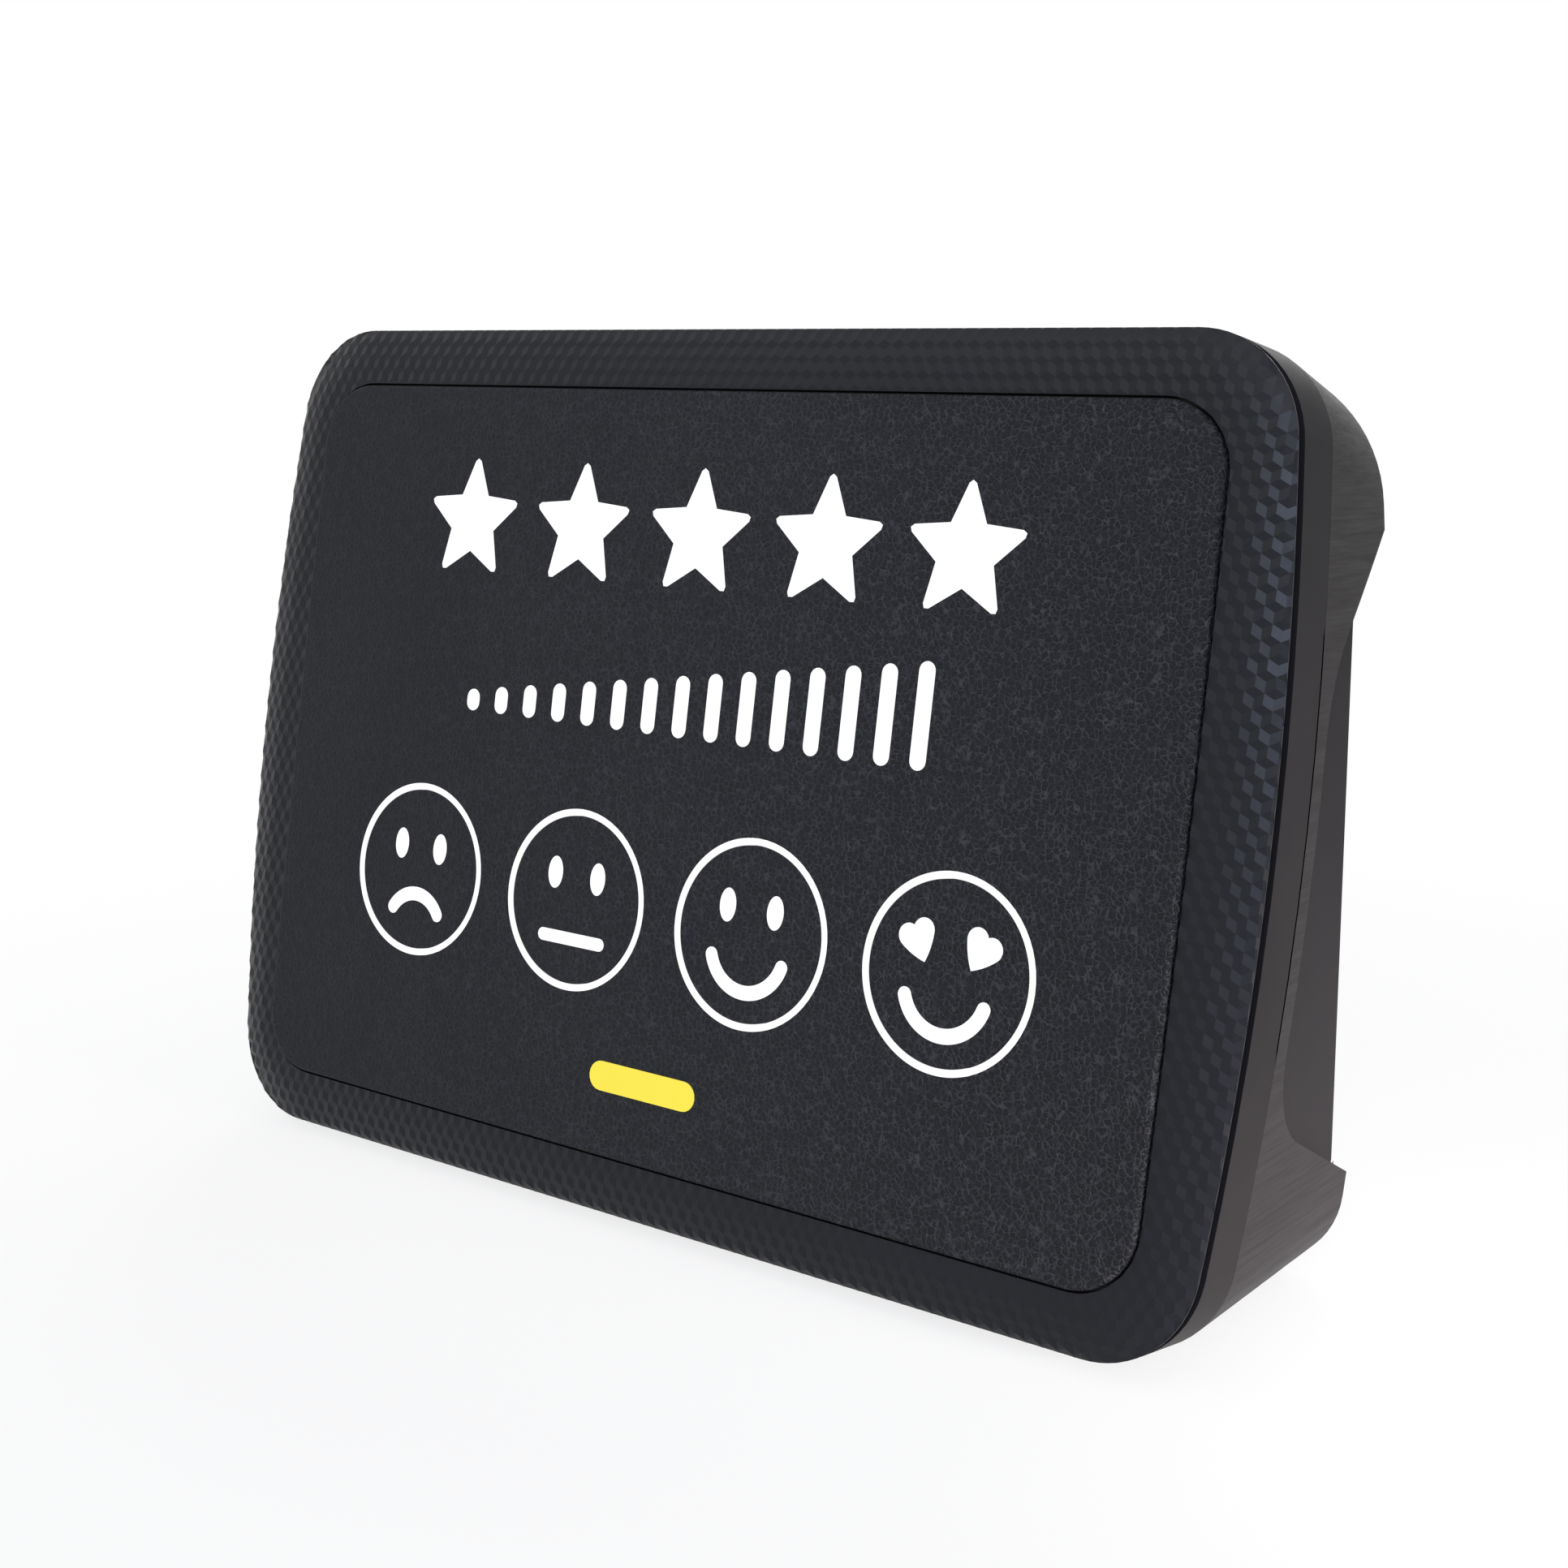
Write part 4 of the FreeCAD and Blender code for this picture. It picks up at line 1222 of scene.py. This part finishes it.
class Cut(Enum):
    """What a Boolean keeps of its target: the part inside the tool, or the part outside it."""

    INTERSECT = "INTERSECT"
    DIFFERENCE = "DIFFERENCE"


def cut(target: bpy.types.Object, tool: bpy.types.Object, kind: Cut) -> None:
    """Cut a scratch object with another, and remove the tool.

    Args:
        target: The object that is cut.
        tool: The object that cuts.
        kind: What is kept of the target.
    """
    modifier = target.modifiers.new("cut", "BOOLEAN")
    modifier.operation = kind.value
    modifier.solver = "EXACT"
    modifier.object = tool
    graph = bpy.context.evaluated_depsgraph_get()
    data = bpy.data.meshes.new_from_object(target.evaluated_get(graph))
    target.modifiers.clear()
    target.data = data
    bpy.data.objects.remove(tool)


class Housing:
    """Nodes of the housing and of all that it holds but the keys."""

    finishes: dict[Finish, tuple[str, ...]] = {
        Finishes.leather: ("front_panel",),
        Finishes.facets: ("bezel",),
        # The seal's near-black finish is painted shade of the groove
        Finishes.groove_shade: ("groove_seal",),
        Finishes.band: ("middle_frame", "frame_flange"),
        Finishes.shell: ("rear_shell", "shell_flange", "shell_bosses"),
        Finishes.cover: ("back_cover",),
        Finishes.rubber: ("rubber_feet",),
        Finishes.black_steel: ("cover_screws",),
        Finishes.steel: ("flange_screws", "board_screws", "radio_module", "clock_cell", "capacitors"),
        Finishes.rocker: ("rocker_housing", "power_rocker"),
        Finishes.part: ("power_inlet", "switch_bodies", "processor", "cell_holder", "buzzer"),
        Finishes.white: ("diffuser_sheet", "light_baffle", "ribbon_sockets", "ribbon"),
        Finishes.board: ("light_board", "main_board"),
        Finishes.glow: ("board_lamps",),
    }

    def build(self) -> None:
        """Dress every node."""
        for finish, nodes in self.finishes.items():
            for node in nodes:
                dress(node, finish)
            LOG.info("%s on %s", finish.name, ", ".join(nodes))


@dataclass(frozen=True)
class Lamp:
    """Soft square lamp that looks at a point, in metres, watts and degrees."""

    name: str
    place: Point
    size: float
    power: float
    colour: Colour = (1.0, 1.0, 1.0)
    aim: Point = (0.0, 0.0, 0.07)
    spread: float = 180.0

    def build(self) -> None:
        """Light the scene with the lamp."""
        data = bpy.data.lights.new(self.name, "AREA")
        data.spread = math.radians(self.spread)
        data.shape = "SQUARE"
        data.size = self.size
        data.energy = self.power
        data.color = self.colour
        item = bpy.data.objects.new(self.name, data)
        look = Vector(self.aim) - Vector(self.place)
        turn = look.to_track_quat("-Z", "Y").to_matrix().to_4x4()
        item.matrix_world = Matrix.Translation(self.place) @ turn
        bpy.context.scene.collection.objects.link(item)


@dataclass
class Studio:
    """Camera, pale floor and soft lights.

    Attributes:
        focal_pixels: Focal length in the photograph's pixels.
        sensor: Width of the camera's sensor in millimetres.
        camera_from_keys: The camera's place from the middle of the keys, in metres.
        floor_half: Half the floor's side in metres.
        shadow_reach: Metres from the middle within which the floor keeps its shadow.
        fade_reach: Metres from the middle beyond which it is white.
        white_near: Share of white near the object.
        soft: Strength of the surroundings as a light.
    """

    image_pixels: float = 1932.0
    focal_pixels: float = 2811.12
    sensor: float = 36.0
    camera_from_keys: Point = (0.25077, -0.28763, 0.10206)
    camera_right: Point = (0.79135, 0.61128, -0.01009)
    camera_up: Point = (-0.11614, 0.16652, 0.97917)
    floor_half: float = 6.0
    floor_tone: float = 0.86
    shadow_reach: float = 0.1
    fade_reach: float = 0.32
    white_near: float = 0.8
    soft: float = 0.5
    lamps: tuple[Lamp, ...] = (
        Lamp("key_light", (0.1, -1.2, 1.4), size=1.6, power=8.0),
        Lamp("window_light", (0.7, -1.05, 0.74), size=0.5, power=8.0, colour=(0.6, 0.72, 1.0)),
        Lamp("low_light", (0.45, -0.02, 0.06), size=0.1, power=0.27, colour=(1.0, 0.91, 0.87),
             aim=(0.1, 0.03, -0.02), spread=44.0),
        Lamp("rear_light", (-0.5, 1.3, 1.0), size=1.2, power=9.0),
    )

    def camera(self) -> None:
        """Place the camera at the photograph's angle."""
        data = bpy.data.cameras.new("camera")
        data.sensor_width = self.sensor
        data.sensor_fit = "HORIZONTAL"
        data.lens = self.focal_pixels / self.image_pixels * self.sensor
        data.clip_start = 0.01
        item = bpy.data.objects.new("camera", data)
        right = Vector(self.camera_right).normalized()
        up = Vector(self.camera_up)
        up = (up - up.dot(right) * right).normalized()
        turn = Matrix((right, up, right.cross(up))).transposed()
        item.matrix_world = Matrix.Translation(FACE_ORIGIN + Vector(self.camera_from_keys)) @ turn.to_4x4()
        bpy.context.scene.collection.objects.link(item)
        bpy.context.scene.camera = item

    def finish_tree(self, tree: Tree, share: object, plain: bpy.types.Node, white: bpy.types.Node,
                    output: str) -> None:
        """End a tree with a white shader where a mask says so, and a plain one elsewhere.

        Args:
            tree: The tree of the floor or of the world.
            share: Mask of the white.
            plain: The plain shader.
            white: The white shader.
            output: Type of the output node, as Tree.add takes it.
        """
        mix = tree.add("MixShader")
        for socket, item in zip(mix.inputs, (share, plain.outputs[0], white.outputs[0])):
            tree.feed(socket, item)
        tree.feed(tree.add(output).inputs["Surface"], mix.outputs[0])

    def white_share(self, tree: Tree) -> Socket:
        """Mask of the rays that see the white background.

        Args:
            tree: The tree of the floor or of the world.

        Returns:
            One for those rays, and zero for the light that the surroundings give.
        """
        path = tree.add("LightPath").outputs
        seen = tree.math("MAXIMUM", path["Is Camera Ray"], path["Is Glossy Ray"])
        return tree.math("MAXIMUM", seen, path["Is Transmission Ray"])

    def floor(self) -> None:
        """Plain pale floor that keeps the object's shadow."""
        mesh = bmesh.new()
        bmesh.ops.create_grid(mesh, x_segments=1, y_segments=1, size=self.floor_half)
        item = link_mesh("floor", mesh)
        material = bpy.data.materials.new("pale_floor")
        material.use_nodes = True
        tree = Tree(material.node_tree)
        material.node_tree.nodes.clear()
        place = tree.add("TexCoord").outputs["Object"]
        length = tree.add("VectorMath", operation="LENGTH")
        tree.feed(length.inputs[0], place)
        fade = tree.ramp(length.outputs["Value"], self.shadow_reach, self.fade_reach, self.white_near, 1.0)
        share = tree.math("MULTIPLY", self.white_share(tree), fade)
        surface = tree.add("BsdfDiffuse", Color=(self.floor_tone,) * 3 + (1.0,))
        light = tree.add("Emission", Strength=1.0)
        self.finish_tree(tree, share, surface, light, "OutputMaterial")
        item.data.materials.append(material)

    def world(self) -> None:
        """White surroundings, plainer for the light that they give."""
        world = bpy.data.worlds.new("studio")
        bpy.context.scene.world = world
        world.use_nodes = True
        tree = Tree(world.node_tree)
        world.node_tree.nodes.clear()
        soft, white = (
            tree.add("Background", Color=(1.0, 1.0, 1.0, 1.0), Strength=strength)
            for strength in (self.soft, 1.0)
        )
        self.finish_tree(tree, self.white_share(tree), soft, white, "OutputWorld")

    def build(self) -> None:
        """Set up the whole studio."""
        bpy.context.scene.view_settings.view_transform = "Standard"
        self.camera()
        self.floor()
        self.world()
        for lamp in self.lamps:
            lamp.build()
        LOG.info("studio ready")


def main() -> None:
    """Build the scene."""
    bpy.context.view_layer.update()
    Studio().build()
    Housing().build()
    Keys().build()
    PanelLegends().build()
    Bezel().build()


if __name__ == "__main__":
    logging.basicConfig(level=logging.INFO)
    main()
